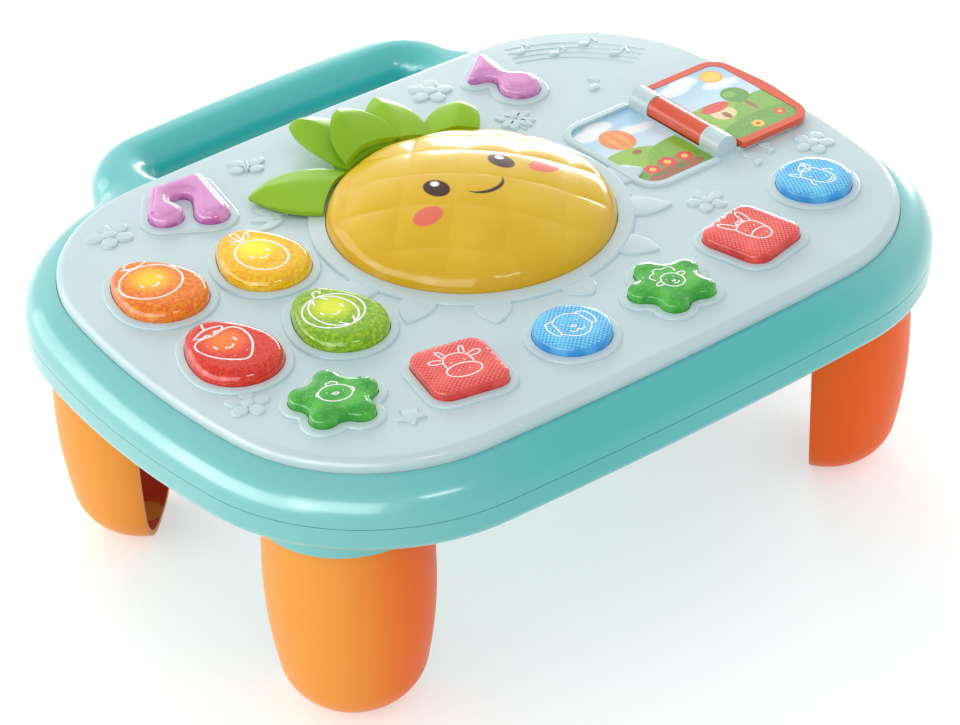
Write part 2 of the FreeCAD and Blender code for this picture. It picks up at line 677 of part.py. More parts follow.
def make_lower_casing():
    owner = make_body("lower_casing")
    pad(owner, "lower_block", [belt(casing_outline), belt(slot_outline)],
        "0 - upper_depth - lower_depth", "lower_depth - fit")
    fillet(owner, "lower_round", "base_round", underside)
    pocket(owner, "lower_hollow", [belt(casing_outline, -wall), belt(slot_outline, wall)],
           "0 - upper_depth", "lower_depth - wall")
    for place in leg_places:
        collar_radius = leg_radius_at(underside - collar_depth) + fit
        pad(owner, "collar_" + place,
            [placed(c_outline(collar_radius + collar_wall, collar_radius, leg_cut), place)],
            "0 - upper_depth - lower_depth - collar_depth", "collar_depth + wall / 2")
        pad(owner, "sleeve_" + place,
            [placed(d_outline(plug_radius + fit + wall, leg_cut + fit + wall), place)],
            "0 - upper_depth - lower_depth", "plug_height")
    for number, (x, y) in enumerate(case_screws, 1):
        pad(owner, f"case_boss_{number}", [disc(x, y, boss_radius)],
            "0 - upper_depth - lower_depth + wall / 2", "lower_depth - wall / 2 - fit")
    pad(owner, "battery_walls", [belt(bay_outline(door_ledge + fit + wall, door_lug))],
        "0 - upper_depth - lower_depth + wall / 2",
        "door_thickness + 2 * cell_radius + 3 * fit + wall / 2")
    pad(owner, "speaker_wall",
        [disc(speaker_x, speaker_y, speaker_radius + fit + wall),
         disc(speaker_x, speaker_y, speaker_radius + fit)],
        "0 - upper_depth - lower_depth + wall / 2", "wall * 3")
    pocket(owner, "sockets",
           [placed(d_outline(plug_radius + fit, leg_cut + fit), place) for place in leg_places],
           "0", "upper_depth + lower_depth + wall")
    pocket(owner, "battery_bay", [belt(bay_outline(0))],
           "0 - upper_depth - lower_depth + door_thickness + 2 * cell_radius + 3 * fit",
           "door_thickness + 2 * cell_radius + 4 * fit")
    pocket(owner, "door_recess", [belt(bay_outline(door_ledge + fit, door_lug))],
           "0 - upper_depth - lower_depth + door_thickness + fit", "door_thickness + 2 * fit")
    pocket(owner, "door_screw_bore", [disc(battery_x, door_screw_y, screw_radius + fit)],
           "0 - upper_depth", "lower_depth + fit")
    pocket(owner, "sound_holes", [disc(x, y, grille_hole) for x, y in grille_places()],
           "0", "upper_depth + lower_depth + wall")
    pocket(owner, "screw_holes", [disc(x, y, screw_radius + fit / 2) for x, y in case_screws],
           "0", "upper_depth + lower_depth + wall")
    pocket(owner, "screw_counterbores", [disc(x, y, screw_head_radius + fit) for x, y in case_screws],
           "0 - upper_depth - lower_depth + screw_head_height + wall",
           "screw_head_height + wall * 2")
    switch_half = knob_length / 2 + switch_travel / 2 + fit
    slot = box_outline(switch_x - switch_half, switch_y - knob_width / 2 - fit,
                       switch_x + switch_half, switch_y + knob_width / 2 + fit, [small_corner] * 4)
    pocket(owner, "switch_slot", [belt(slot)], "0", "upper_depth + lower_depth + wall")
    return sub_part(owner, "lower_casing")


# Buttons

buttons = {
    "button_orange": (egg_outline(), orange_x, orange_y, 8, "fruit"),
    "button_yellow": (egg_outline(), yellow_x, yellow_y, 2, "fruit"),
    "button_red": (egg_outline(), red_x, red_y, 4, "fruit"),
    "button_lime": (egg_outline(), lime_x, lime_y, 2, "fruit"),
    "button_note": (note_outline(), note_x, note_y, 0, "note"),
    "button_bow": (bow_outline(), bow_x, bow_y, 0, "note"),
}
animals = ["chick", "cow", "dog", "sheep", "donkey", "horse"]
shapes = {"chick": star_outline, "sheep": star_outline,
          "cow": lambda: square_outline(square_side, square_corner),
          "donkey": lambda: square_outline(square_side, square_corner),
          "dog": lambda: circle_outline(round_radius), "horse": lambda: circle_outline(round_radius)}
for order, animal in enumerate(animals):
    turn = (order - (len(animals) - 1) / 2) * arc_pitch
    buttons["button_" + animal] = (
        shapes[animal](), arc_radius * math.sin(math.radians(turn)),
        arc_radius * (1 - math.cos(math.radians(turn))) - arc_front, turn, "animal")

rise_of = {"fruit": "fruit_rise", "animal": "button_rise", "note": "note_rise"}
edge_of = {"fruit": "fruit_edge", "animal": "button_edge", "note": "note_edge"}
rises = {"fruit": fruit_rise, "animal": button_rise, "note": note_rise}
pad_top = -board_drop + key_pad_height
stem_end = pad_top + button_travel + fit


def button_belt(name, grow=0.0):
    circles, x, y, turn, kind = buttons[name]
    return belt(moved(circles, x, y, turn), grow)


def bezel_belt(name):
    """Outline of the raised ring, which runs straight past the notch of the note."""
    circles, x, y, turn, kind = buttons[name]
    if name == "button_note":
        circles = [c for c in circles if c[2] > 0]
    return belt(moved(circles, x, y, turn), fit + bezel_width)


def stem_places(name):
    """One stem in the middle, or one under each lobe of the purple buttons."""
    circles, x, y, turn, kind = buttons[name]
    if kind != "note":
        return [(x, y)]
    lobes = sorted((c for c in circles if c[2] > 0), key=lambda c: -c[2])[:2]
    if name == "button_bow":
        lobes = lobes[:1]
    return [(x + px, y + py) for px, py, r in lobes]


def make_button(name):
    """Cap with a rounded top, a flange under the panel and stems down to the key pads."""
    kind = buttons[name][4]
    owner = make_body(name)
    pad(owner, name + "_cap", [button_belt(name)],
        "plateau - wall - fit - flange_thickness",
        f"wall + fit + flange_thickness + {rise_of[kind]}")
    fillet(owner, name + "_edge", edge_of[kind], plateau + rises[kind])
    pad(owner, name + "_flange", [button_belt(name, button_flange)],
        "plateau - wall - fit - flange_thickness", "flange_thickness")
    pad(owner, name + "_stem", [disc(x, y, stem_radius) for x, y in stem_places(name)],
        "key_pad_height + button_travel + fit - board_drop",
        "plateau - wall - fit + board_drop - key_pad_height - button_travel - fit")
    return sub_part(owner, name)


# Panel

book_low = book_y - page_width / 2
book_high = book_y + page_width / 2
hinge_z = plateau + hinge_rise
right_picture_x = 2 * hinge_x - picture_x


def picture_outline(x, outer_left):
    """Fixed picture with its two outer corners rounded."""
    radii = [picture_corner, small_corner, small_corner, picture_corner]
    if not outer_left:
        radii = [small_corner, picture_corner, picture_corner, small_corner]
    half_x, half_y = picture_length / 2, picture_width / 2
    return box_outline(x - half_x, book_y - half_y, x + half_x, book_y + half_y, radii)


def block_profile():
    """Arch of a hinge block, drawn in XZ round the hinge axis."""
    reach = barrel_radius + fit
    base = plateau - wall / 2
    left = Vector(hinge_x - reach, hinge_z, 0)
    right = Vector(hinge_x + reach, hinge_z, 0)
    low_right = Vector(hinge_x + reach, base, 0)
    low_left = Vector(hinge_x - reach, base, 0)
    return [Part.LineSegment(low_left, low_right), Part.LineSegment(low_right, right),
            Part.Arc(right, Vector(hinge_x, hinge_z + reach, 0), left),
            Part.LineSegment(left, low_left)]


def xz_pad(owner, name, outlines, near_y, length):
    """Raise outlines drawn in XZ from a Y place towards +Y."""
    feature = owner.newObject("PartDesign::Pad", name)
    feature.Profile = sketch(owner, name + "_sketch", outlines, near_y, "XZ_Plane")
    bind(feature, "Length", length)
    feature.Reversed = True
    return feature


def make_top_panel():
    owner = make_body("top_panel")
    pad(owner, "panel_block", [belt(seam_outline, -fit / 2)],
        "fit - panel_skirt", "panel_skirt - fit + plateau")
    fillet(owner, "panel_edge_round", "panel_edge", plateau)
    hollow = owner.newObject("PartDesign::Pocket", "panel_hollow")
    hollow.Profile = sketch(owner, "panel_hollow_sketch", [belt(seam_outline, -fit / 2 - wall)],
                            "plateau - wall")
    bind(hollow, "Length", "plateau + panel_skirt")
    # raised rings round the buttons, the dome and the left picture
    for name in buttons:
        pad(owner, name + "_bezel", [bezel_belt(name)],
            "plateau - wall / 2", "bezel_height + wall / 2")
    pad(owner, "dome_bezel", [disc(0, dome_y, dome_radius + fit + dome_ring)],
        "plateau - wall / 2", "bezel_height + wall / 2")
    pad(owner, "book_bezel",
        [belt(box_outline(picture_x - picture_length / 2 - book_rim, book_y - picture_width / 2 - book_rim,
                          hinge_x - barrel_radius, book_y + picture_width / 2 + book_rim,
                          [picture_corner + book_rim, book_rim / 2,
                           book_rim / 2, picture_corner + book_rim]))],
        "plateau - wall / 2", "bezel_height + wall / 2")
    pad(owner, "book_rest",
        [belt(box_outline(hinge_x + barrel_radius, book_y - picture_width / 2 - book_rim / 2,
                          right_picture_x + picture_length / 2 + book_rim / 2,
                          book_y + picture_width / 2 + book_rim / 2,
                          [book_rim / 2, picture_corner, picture_corner, book_rim / 2]))],
        "plateau - wall / 2", "bezel_height + wall / 2")
    fillet(owner, "bezel_rounds", "bezel_round", plateau + bezel_height)
    # hinge blocks at both ends of the book's spine
    xz_pad(owner, "front_block", [block_profile()],
           "0 - book_y + barrel_length / 2 + fit", "block_length")
    owner.Tip.Reversed = False
    xz_pad(owner, "back_block", [block_profile()],
           "0 - book_y - barrel_length / 2 - fit", "block_length")
    # screw bosses and board posts hang from the underside
    boss_count = 0
    for x, y in case_screws:
        boss_count += 1
        pad(owner, f"panel_boss_{boss_count}", [disc(x, y, boss_radius)],
            "fit - upper_depth", "upper_depth - fit + plateau - wall / 2")
    for x, y in board_posts:
        boss_count += 1
        pad(owner, f"panel_boss_{boss_count}", [disc(x, y, boss_radius)],
            "0 - board_drop", "board_drop + plateau - wall / 2")
    # openings
    pocket(owner, "button_holes", [button_belt(name, fit) for name in buttons],
           "plateau + bezel_height + wall", "bezel_height + wall * 3")
    pocket(owner, "dome_hole", [disc(0, dome_y, dome_radius + fit)],
           "plateau + bezel_height + wall", "bezel_height + wall * 3")
    pocket(owner, "left_recess", [belt(picture_outline(picture_x, True), fit / 2)],
           "plateau + bezel_height + wall", "bezel_height + wall + picture_recess")
    pocket(owner, "right_recess", [belt(picture_outline(right_picture_x, False), fit / 2)],
           "plateau + bezel_height + wall", "wall + picture_recess")
    spine_half = barrel_length / 2 + fit
    reach = barrel_radius + fit
    pocket(owner, "spine_window",
           [belt(box_outline(hinge_x - reach, book_y - spine_half, hinge_x + reach,
                             book_y + spine_half, [fit] * 4))],
           "plateau + barrel_radius * 3", "barrel_radius * 3 + wall * 3")
    pin_bore = owner.newObject("PartDesign::Pocket", "pin_bore")
    pin_bore.Profile = sketch(owner, "pin_bore_sketch", [disc(hinge_x, hinge_z, pin_radius + fit / 3)],
                              "0 - book_y + barrel_length / 2 + fit + block_length - wall / 2",
                              "XZ_Plane")
    bind(pin_bore, "Length", "barrel_length + 2 * fit + 2 * block_length - wall")
    pin_bore.Reversed = False
    pocket(owner, "boss_bores", [disc(x, y, screw_radius + fit / 3) for x, y in case_screws],
           "0", "upper_depth")
    pocket(owner, "post_bores", [disc(x, y, screw_radius + fit / 3) for x, y in board_posts],
           "0", "board_drop + wall")
    return sub_part(owner, "top_panel")


board_posts = [(sx * board_post_x, y) for sx in (-1, 1) for y in (-board_post_front, board_post_y)]


# Pineapple: a pressing dome and its crown of leaves

def make_dome():
    """Shallow shell of two arcs with a flange, and a cross web that carries three stems."""
    owner = make_body("pineapple_dome")
    half = owner.newObject("PartDesign::Revolution", "dome_shell")
    flange_low = plateau - wall - fit - flange_thickness
    top = plateau + dome_rise
    side_centre = Vector(dome_radius - dome_side, plateau, 0)
    crown_bow = (side_centre.x ** 2 + dome_rise ** 2 - dome_side ** 2) / (2 * (dome_rise - dome_side))
    crown_centre = Vector(0, top - crown_bow, 0)
    lean = math.atan2(side_centre.y - crown_centre.y, side_centre.x - crown_centre.x)

    def curve(grow):
        """Side arc and crown arc of the dome, thinned by a distance."""
        points = [point_on(side_centre, dome_side + grow, turn) for turn in (0, lean / 2, lean)]
        points += [point_on(crown_centre, crown_bow + grow, (lean + math.pi / 2) / 2),
                   point_on(crown_centre, crown_bow + grow, math.pi / 2)]
        return [Part.Arc(*points[:3]), Part.Arc(*points[2:])]

    inner = dome_radius - dome_wall
    outer = dome_radius + button_flange
    flange_high = flange_low + flange_thickness
    skirt = [(inner, plateau), (inner, flange_low), (outer, flange_low), (outer, flange_high),
             (dome_radius, flange_high), (dome_radius, plateau)]
    corners = [Vector(x, z, 0) for x, z in skirt]
    outline = curve(0) + curve(-dome_wall)
    outline.append(Part.LineSegment(Vector(0, top, 0), Vector(0, top - dome_wall, 0)))
    outline += [Part.LineSegment(a, b) for a, b in zip(corners, corners[1:])]
    half.Profile = sketch(owner, "dome_section", [outline], "0", "XZ_Plane")
    half.ReferenceAxis = (half.Profile[0], ["V_Axis"])
    half.Angle = 360
    # cross web with the stems that reach the key pads
    bar = dome_wall
    pad(owner, "dome_web",
        [belt(box_outline(-inner - bar / 2, -bar, inner + bar / 2, bar, [bar / 3] * 4))],
        "plateau - wall - fit - flange_thickness", "flange_thickness * 2")
    pad(owner, "dome_stems", [disc(x, y, stem_radius) for x, y in dome_stems],
        "key_pad_height + button_travel + fit - board_drop",
        "plateau - wall - fit + board_drop - key_pad_height - button_travel - fit")
    made = sub_part(owner, "pineapple_dome")
    made.Placement = home.multiply(Placement(Vector(0, dome_y, 0), Rotation()))
    return made


dome_stems = [(-dome_stem_reach, 0), (0, 0), (dome_stem_reach, 0)]

# Each leaf: its root along X, direction from straight back, length, half width, tip radius and
# how far it tilts up. The roots lie on a circle round the dome's middle.
leaves = [(-30, 57, 51, 19, 3.5, 1), (-14, 38, 58, 16, 7, 6), (-6, 19, 56, 15, 8.5, 10),
          (-7, 2, 40, 18, 6, 27), (8, -16, 48, 16, 4, 12), (25, -50, 38, 14.5, 8, 10)]
leaf_base, leaf_shoulder = 0.75, 0.78
belly_at, shoulder_at = 0.35, 0.62


def make_leaves():
    """Six pointed leaves on a crown plate, kept clear of the dome and its ring."""
    parts = []
    for number, (root_x, lean, reach, half, tip, tilt) in enumerate(leaves, 1):
        owner = make_body(f"leaf_{number}")
        outline = [(0, 0, half * leaf_base), (0, reach * belly_at, half),
                   (0, reach * shoulder_at, half * leaf_shoulder), (0, reach - tip, tip)]
        pad(owner, f"leaf_{number}_blade", [belt(outline)], "0", "leaf_thickness")
        root_y = dome_y + math.sqrt(leaf_root ** 2 - root_x ** 2)
        spin = Rotation(Vector(0, 0, 1), lean)
        raise_up = Rotation(Vector(1, 0, 0), tilt)
        owner.Placement = Placement(Vector(root_x, root_y, plateau + fit / 3), spin.multiply(raise_up))
        parts.append(owner)
    root = make_body("leaf_root_plate")
    pad(root, "root_plate", [disc(0, dome_y + leaf_root, leaf_plate)],
        "plateau + fit / 3", "leaf_thickness")
    parts.append(root)
    whole = doc.addObject("Part::MultiFuse", "leaf_crown")
    whole.Shapes = parts
    dome_clear = doc.addObject("Part::Cylinder", "leaf_dome_clear")
    bind(dome_clear, "Radius", "dome_radius + leaf_gap")
    bind(dome_clear, "Height", "dome_rise * 4")
    dome_clear.Placement = Placement(Vector(0, dome_y, -dome_rise), Rotation())
    ring_clear = doc.addObject("Part::Cylinder", "leaf_ring_clear")
    bind(ring_clear, "Radius", "dome_radius + 2 * fit + dome_ring")
    bind(ring_clear, "Height", "plateau + bezel_height + fit / 3")
    ring_clear.Placement = Placement(Vector(0, dome_y, 0), Rotation())
    floor_clear = doc.addObject("Part::Box", "leaf_floor_clear")
    bind(floor_clear, "Length", "panel_length")
    bind(floor_clear, "Width", "panel_length")
    bind(floor_clear, "Height", "plateau + fit / 3 + dome_rise")
    floor_clear.Placement = Placement(Vector(-half_length, -half_length, -dome_rise), Rotation())
    return sub_part(cut("pineapple_leaves", whole, dome_clear, ring_clear, floor_clear),
                    "pineapple_leaves")


# Flip book

def page_outline():
    """Page with rounded free corners and a finger tab, drawn from its neck outwards."""
    near = hinge_x + barrel_radius + page_gap + small_corner
    edge = hinge_x + page_length
    tab = tab_width / 2
    return [
        (near, book_low + small_corner, small_corner),
        (edge - page_corner, book_low + page_corner, page_corner),
        (edge + page_tab - tab_round, book_y - tab + tab_round, tab_round),
        (edge + page_tab - tab_round, book_y + tab - tab_round, tab_round),
        (edge - page_corner, book_high - page_corner, page_corner),
        (near, book_high - small_corner, small_corner)]


def page_picture_outline():
    edge = hinge_x + page_length - page_frame
    near = hinge_x + barrel_radius + page_gap + page_inner_frame
    low, high = book_low + page_frame, book_high - page_frame
    corner = page_corner - page_frame
    return box_outline(near, low, edge, high, [small_corner, corner, corner, small_corner])


def make_page():
    """Page and neck in one piece with the spine barrel, which is bored for the pin."""
    owner = make_body("book_page")
    half = page_thickness / 2
    pad(owner, "page_plate", [belt(page_outline())],
        "plateau + hinge_rise - page_thickness / 2", "page_thickness")
    neck_low = book_y - barrel_length / 2
    neck_high = book_y + barrel_length / 2
    pad(owner, "page_neck",
        [belt(box_outline(hinge_x + pin_radius * 2, neck_low,
                          hinge_x + barrel_radius + neck_reach, neck_high, [fit] * 4))],
        "plateau + hinge_rise - page_thickness / 2", "page_thickness")
    xz_pad(owner, "page_barrel", [disc(hinge_x, hinge_z, barrel_radius)],
           "0 - book_y - barrel_length / 2", "barrel_length")
    owner.Tip.Reversed = False
    bore = owner.newObject("PartDesign::Pocket", "page_bore")
    bore.Profile = sketch(owner, "page_bore_sketch", [disc(hinge_x, hinge_z, pin_radius + fit / 3)],
                          "0 - book_y + barrel_length", "XZ_Plane")
    bind(bore, "Length", "barrel_length * 2")
    bore.Reversed = False
    pocket(owner, "front_picture_recess", [belt(page_picture_outline(), fit / 2)],
           "plateau + hinge_rise + page_thickness", "page_thickness / 2 + picture_recess")
    back = owner.newObject("PartDesign::Pocket", "back_picture_recess")
    back.Profile = sketch(owner, "back_picture_recess_sketch", [belt(page_picture_outline(), fit / 2)],
                          "plateau + hinge_rise - page_thickness")
    bind(back, "Length", "page_thickness / 2 + picture_recess")
    back.Reversed = True
    return sub_part(owner, "book_page")


def make_card(name, outline, base):
    """Printed card that lies in its recess."""
    owner = make_body(name)
    pad(owner, name + "_card", [belt(outline)], base, "picture_thickness")
    return sub_part(owner, name)


def make_book():
    make_page()
    make_card("page_picture_front", page_picture_outline(),
              "plateau + hinge_rise + page_thickness / 2 - picture_recess")
    make_card("page_picture_back", page_picture_outline(),
              "plateau + hinge_rise - page_thickness / 2 + picture_recess - picture_thickness")
    make_card("picture_left", picture_outline(picture_x, True), "plateau - picture_recess")
    make_card("picture_right", picture_outline(right_picture_x, False),
              "plateau + bezel_height - picture_recess")
    pin = make_body("hinge_pin")
    xz_pad(pin, "pin_rod", [disc(hinge_x, hinge_z, pin_radius)],
           "0 - book_y - barrel_length / 2 - fit - block_length + wall / 2 + fit",
           "barrel_length + 2 * block_length - wall")
    pin.Tip.Reversed = False
    sub_part(pin, "hinge_pin")


# Inside the casing

def make_board():
    owner = make_body("main_board")
    pad(owner, "board_plate", [belt(seam_outline, -board_inset)],
        "0 - board_drop - board_thickness", "board_thickness - fit / 3")
    pocket(owner, "board_holes", [disc(x, y, screw_radius + fit) for x, y in board_posts],
           "0", "board_drop + board_thickness + fit")
    sub_part(owner, "main_board")
    pads = doc.addObject("Part::Feature", "key_pads")
    places = [place for name in buttons for place in stem_places(name)]
    places += [(x, y + dome_y) for x, y in dome_stems]
    pads.Shape = Part.makeCompound([
        Part.makeCone(key_pad_radius, key_pad_tip, key_pad_height, Vector(x, y, -board_drop))
        for x, y in places])
    sub_part(pads, "key_pads")
    lamps = doc.addObject("Part::Feature", "lamps")
    lamp_places = [(x + lamp_aside, y) for x, y in (
        (orange_x, orange_y), (yellow_x, yellow_y), (red_x, red_y), (lime_x, lime_y))]
    for turn in (30, 150, 270):
        lamp_places.append((dome_lamp_reach * math.cos(math.radians(turn)),
                            dome_y + dome_lamp_reach * math.sin(math.radians(turn))))
    solids = []
    for x, y in lamp_places:
        stem = Part.makeCylinder(led_radius, led_height - led_radius, Vector(x, y, -board_drop))
        tip = Part.makeSphere(led_radius, Vector(x, y, -board_drop + led_height - led_radius))
        solids.append(stem.fuse(tip).removeSplitter())
    lamps.Shape = Part.makeCompound(solids)
    sub_part(lamps, "lamps")
    screws = doc.addObject("Part::Feature", "board_screws")
    screws.Shape = Part.makeCompound([
        screw(x, y, -board_drop - board_thickness, board_drop) for x, y in board_posts])
    sub_part(screws, "board_screws")


def screw(x, y, seat, length):
    """Pan-head screw driven upwards, its head under the seat."""
    head = Part.makeCylinder(screw_head_radius, screw_head_height, Vector(x, y, seat - screw_head_height))
    head = head.makeFillet(screw_head_height / 3, [head.Edges[2]])
    shank = Part.makeCylinder(screw_radius, length, Vector(x, y, seat))
    return head.fuse(shank).removeSplitter()


def make_case_screws():
    screws = doc.addObject("Part::Feature", "case_screws")
    seat = underside + screw_head_height + wall
    screws.Shape = Part.makeCompound([screw(x, y, seat, case_screw_length) for x, y in case_screws])
    sub_part(screws, "case_screws")


def revolved(owner, name, points, x, y, base):
    """Turn a closed profile of (radius, height) points about an upright axis."""
    corners = [Vector(r, base + z, 0) for r, z in points]
    edges = [Part.LineSegment(a, b) for a, b in zip(corners, corners[1:] + corners[:1])]
    feature = owner.newObject("PartDesign::Revolution", name)
    feature.Profile = sketch(owner, name + "_sketch", [edges], "0", "XZ_Plane")
    feature.ReferenceAxis = (feature.Profile[0], ["V_Axis"])
    feature.Angle = 360
    made = sub_part(owner, owner.Label)
    made.Placement = home.multiply(Placement(Vector(x, y, 0), Rotation()))
    return made


def make_power():
    """Cells, contacts, the door with its captive screw, and the sliding switch."""
    cell_z = underside + door_thickness + 2 * fit + cell_radius
    cell_xs = [battery_x + (i - (cell_count - 1) / 2) * cell_pitch for i in range(cell_count)]
    cells = make_body("battery_cells")
    xz_pad(cells, "cell_cans", [disc(x, cell_z, cell_radius) for x in cell_xs],
           "0 - battery_y + cell_length / 2 - fit / 2", "cell_length - fit / 2")
    cells.Tip.Reversed = True
    sub_part(cells, "battery_cells")
    contacts = make_body("battery_contacts")
    for side, start in (("front", "0 - battery_y + cell_length / 2 + fit / 2"),
                        ("back", "0 - battery_y - cell_length / 2 - fit / 2")):
        xz_pad(contacts, side + "_contact", [disc(x, cell_z, contact_radius) for x in cell_xs], start,
               "battery_margin / 2")
        contacts.Tip.Reversed = side == "back"
    strip = cells_width / 2 - bay_corner
    low, high = cell_z - contact_radius, cell_z + contact_radius
    plate = [Vector(battery_x - strip, low, 0), Vector(battery_x + strip, low, 0),
             Vector(battery_x + strip, high, 0), Vector(battery_x - strip, high, 0)]
    outline = [Part.LineSegment(a, b) for a, b in zip(plate, plate[1:] + plate[:1])]
    xz_pad(contacts, "front_strip", [outline],
           "0 - battery_y + cell_length / 2 + battery_margin / 2", "battery_margin / 2 - fit / 2")
    contacts.Tip.Reversed = False
    xz_pad(contacts, "back_strip", [outline],
           "0 - battery_y - cell_length / 2 - battery_margin / 2", "battery_margin / 2 - fit / 2")
    contacts.Tip.Reversed = True
    sub_part(contacts, "battery_contacts")
    door = make_body("battery_door")
    pad(door, "door_plate", [belt(bay_outline(door_ledge, door_lug))],
        "0 - upper_depth - lower_depth", "door_thickness")
    pocket(door, "door_hole", [disc(battery_x, door_screw_y, screw_radius + fit / 2)], "0",
           "upper_depth + lower_depth + wall")
    pocket(door, "door_counterbore", [disc(battery_x, door_screw_y, screw_head_radius + fit)],
           "0 - upper_depth - lower_depth + door_thickness / 2", "door_thickness")
    sub_part(door, "battery_door")
    screws = doc.addObject("Part::Feature", "door_screw")
    head = Part.makeCylinder(screw_head_radius, door_thickness / 2,
                             Vector(battery_x, door_screw_y, underside))
    shank = Part.makeCylinder(screw_radius, lower_depth / 2,
                              Vector(battery_x, door_screw_y, underside + door_thickness / 2))
    screws.Shape = head.fuse(shank).removeSplitter()
    sub_part(screws, "door_screw")
    # switch: a body on the casing's floor and a knob through the slot
    reach = knob_length / 2 + switch_travel / 2
    body = make_body("switch_body")
    pad(body, "switch_block",
        [belt(box_outline(switch_x - reach - switch_wall, switch_y - knob_width / 2 - switch_wall,
                          switch_x + reach + switch_wall, switch_y + knob_width / 2 + switch_wall,
                          [small_corner] * 4))],
        "0 - upper_depth - lower_depth + wall", "switch_height")
    pocket(body, "switch_bay",
           [belt(box_outline(switch_x - reach - fit, switch_y - knob_width / 2 - fit,
                             switch_x + reach + fit, switch_y + knob_width / 2 + fit,
                             [small_corner] * 4))],
           "0 - upper_depth - lower_depth + knob_height - knob_proud + fit", "knob_height")
    sub_part(body, "switch_body")
    knob = make_body("switch_knob")
    knob_x = switch_x - switch_travel / 2
    pad(knob, "knob_block",
        [belt(box_outline(knob_x - knob_length / 2, switch_y - knob_width / 2,
                          knob_x + knob_length / 2, switch_y + knob_width / 2,
                          [small_corner] * 4))],
        "0 - upper_depth - lower_depth - knob_proud", "knob_height")
    sub_part(knob, "switch_knob")


def make_speaker():
    """Basket with its magnet, and the paper cone that faces the sound holes."""
    base = underside + wall + fit / 3
    magnet_base = speaker_height - magnet_height
    neck_outside = speaker_neck + wall
    revolved(make_body("speaker_basket"), "basket_turned",
             [(speaker_radius, 0), (speaker_radius, speaker_lip), (neck_outside, magnet_base),
              (neck_outside, speaker_height), (0, speaker_height), (0, magnet_base),
              (speaker_neck, magnet_base), (speaker_radius - speaker_lip * 2, speaker_lip),
              (speaker_radius - speaker_lip, 0)],
             speaker_x, speaker_y, base)
    cone_top = magnet_base - speaker_lip + fit
    rim = speaker_radius - speaker_lip * 2 - fit * 2
    revolved(make_body("speaker_cone"), "cone_turned",
             [(rim, cone_wall + fit), (speaker_neck - fit, cone_top), (0, cone_top),
              (0, cone_top - cone_wall), (speaker_neck - 2 * cone_wall, cone_top - cone_wall),
              (rim - cone_wall, fit)],
             speaker_x, speaker_y, base)


for place in leg_places:
    make_leg(place)
make_upper_casing()
make_lower_casing()
make_top_panel()
for button in buttons:
    make_button(button)
make_dome()
make_leaves()
make_book()
make_board()
make_case_screws()
make_power()
make_speaker()
doc.recompute()

faults = [o.Name for o in doc.Objects if "Invalid" in o.State or "Error" in o.State]
for node in sub_parts:
    if node.Shape.isNull() or not node.Shape.isValid():
        faults.append(node.Label)
if faults:
    raise RuntimeError("failed: " + ", ".join(faults))

os.makedirs("parts", exist_ok=True)
for node in sub_parts:
    node.Shape.exportStep(f"parts/{node.Label}.step")
    print(node.Label, len(node.Shape.Solids), round(node.Shape.Volume))
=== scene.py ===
import json
import math

import bpy
from mathutils import Matrix, Vector
from mathutils.kdtree import KDTree

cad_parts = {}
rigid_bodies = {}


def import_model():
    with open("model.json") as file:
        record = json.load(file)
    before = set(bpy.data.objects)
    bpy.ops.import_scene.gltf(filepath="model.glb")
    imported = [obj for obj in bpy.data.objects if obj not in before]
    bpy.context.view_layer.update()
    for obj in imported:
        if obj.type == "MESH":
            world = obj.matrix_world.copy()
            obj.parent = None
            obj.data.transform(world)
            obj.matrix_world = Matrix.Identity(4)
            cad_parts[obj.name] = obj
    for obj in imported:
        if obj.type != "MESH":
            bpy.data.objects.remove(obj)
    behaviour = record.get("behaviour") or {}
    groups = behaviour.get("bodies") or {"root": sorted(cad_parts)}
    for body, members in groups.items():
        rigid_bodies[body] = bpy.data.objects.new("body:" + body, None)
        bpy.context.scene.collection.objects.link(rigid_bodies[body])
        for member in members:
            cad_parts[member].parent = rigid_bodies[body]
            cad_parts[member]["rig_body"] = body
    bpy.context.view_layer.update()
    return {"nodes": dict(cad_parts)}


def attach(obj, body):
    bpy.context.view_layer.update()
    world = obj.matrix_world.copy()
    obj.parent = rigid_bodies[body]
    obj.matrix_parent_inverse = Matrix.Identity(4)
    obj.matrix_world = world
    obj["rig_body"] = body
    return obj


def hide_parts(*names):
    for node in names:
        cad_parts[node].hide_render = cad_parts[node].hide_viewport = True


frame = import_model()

# Camera and studio.
# The table is photographed from its front left corner, from well above, on a white floor.
# Soft lamps stand low around it: some light it, and some show only in its gloss, as long streaks.

azimuth, elevation, roll = math.radians(-37.35), math.radians(34.02), -0.030
looked_at, distance = Vector((-0.0671, -0.1045, 0.142)), 1.4768
backwards = Vector((math.sin(azimuth) * math.cos(elevation), -math.cos(azimuth) * math.cos(elevation),
                    math.sin(elevation)))
level = Vector((math.cos(azimuth), math.sin(azimuth), 0))
upright = backwards.cross(level)
right = level * math.cos(roll) + upright * math.sin(roll)
up = upright * math.cos(roll) - level * math.sin(roll)
bpy.ops.object.camera_add(location=looked_at + backwards * distance)
camera = bpy.context.object
camera.matrix_world = Matrix.Translation(camera.location) @ Matrix((right, up, backwards)).transposed().to_4x4()
camera.data.sensor_width = 36
camera.data.lens = 126.24
bpy.context.scene.camera = camera
bpy.context.scene.view_settings.view_transform = "Standard"


def linear(red, green, blue):
    """A colour read off a swatch, 0 to 255, as the linear colour that a socket takes."""
    parts = [value / 255 for value in (red, green, blue)]
    return tuple(((p + 0.055) / 1.055) ** 2.4 if p > 0.04 else p / 12.92 for p in parts) + (1.0,)


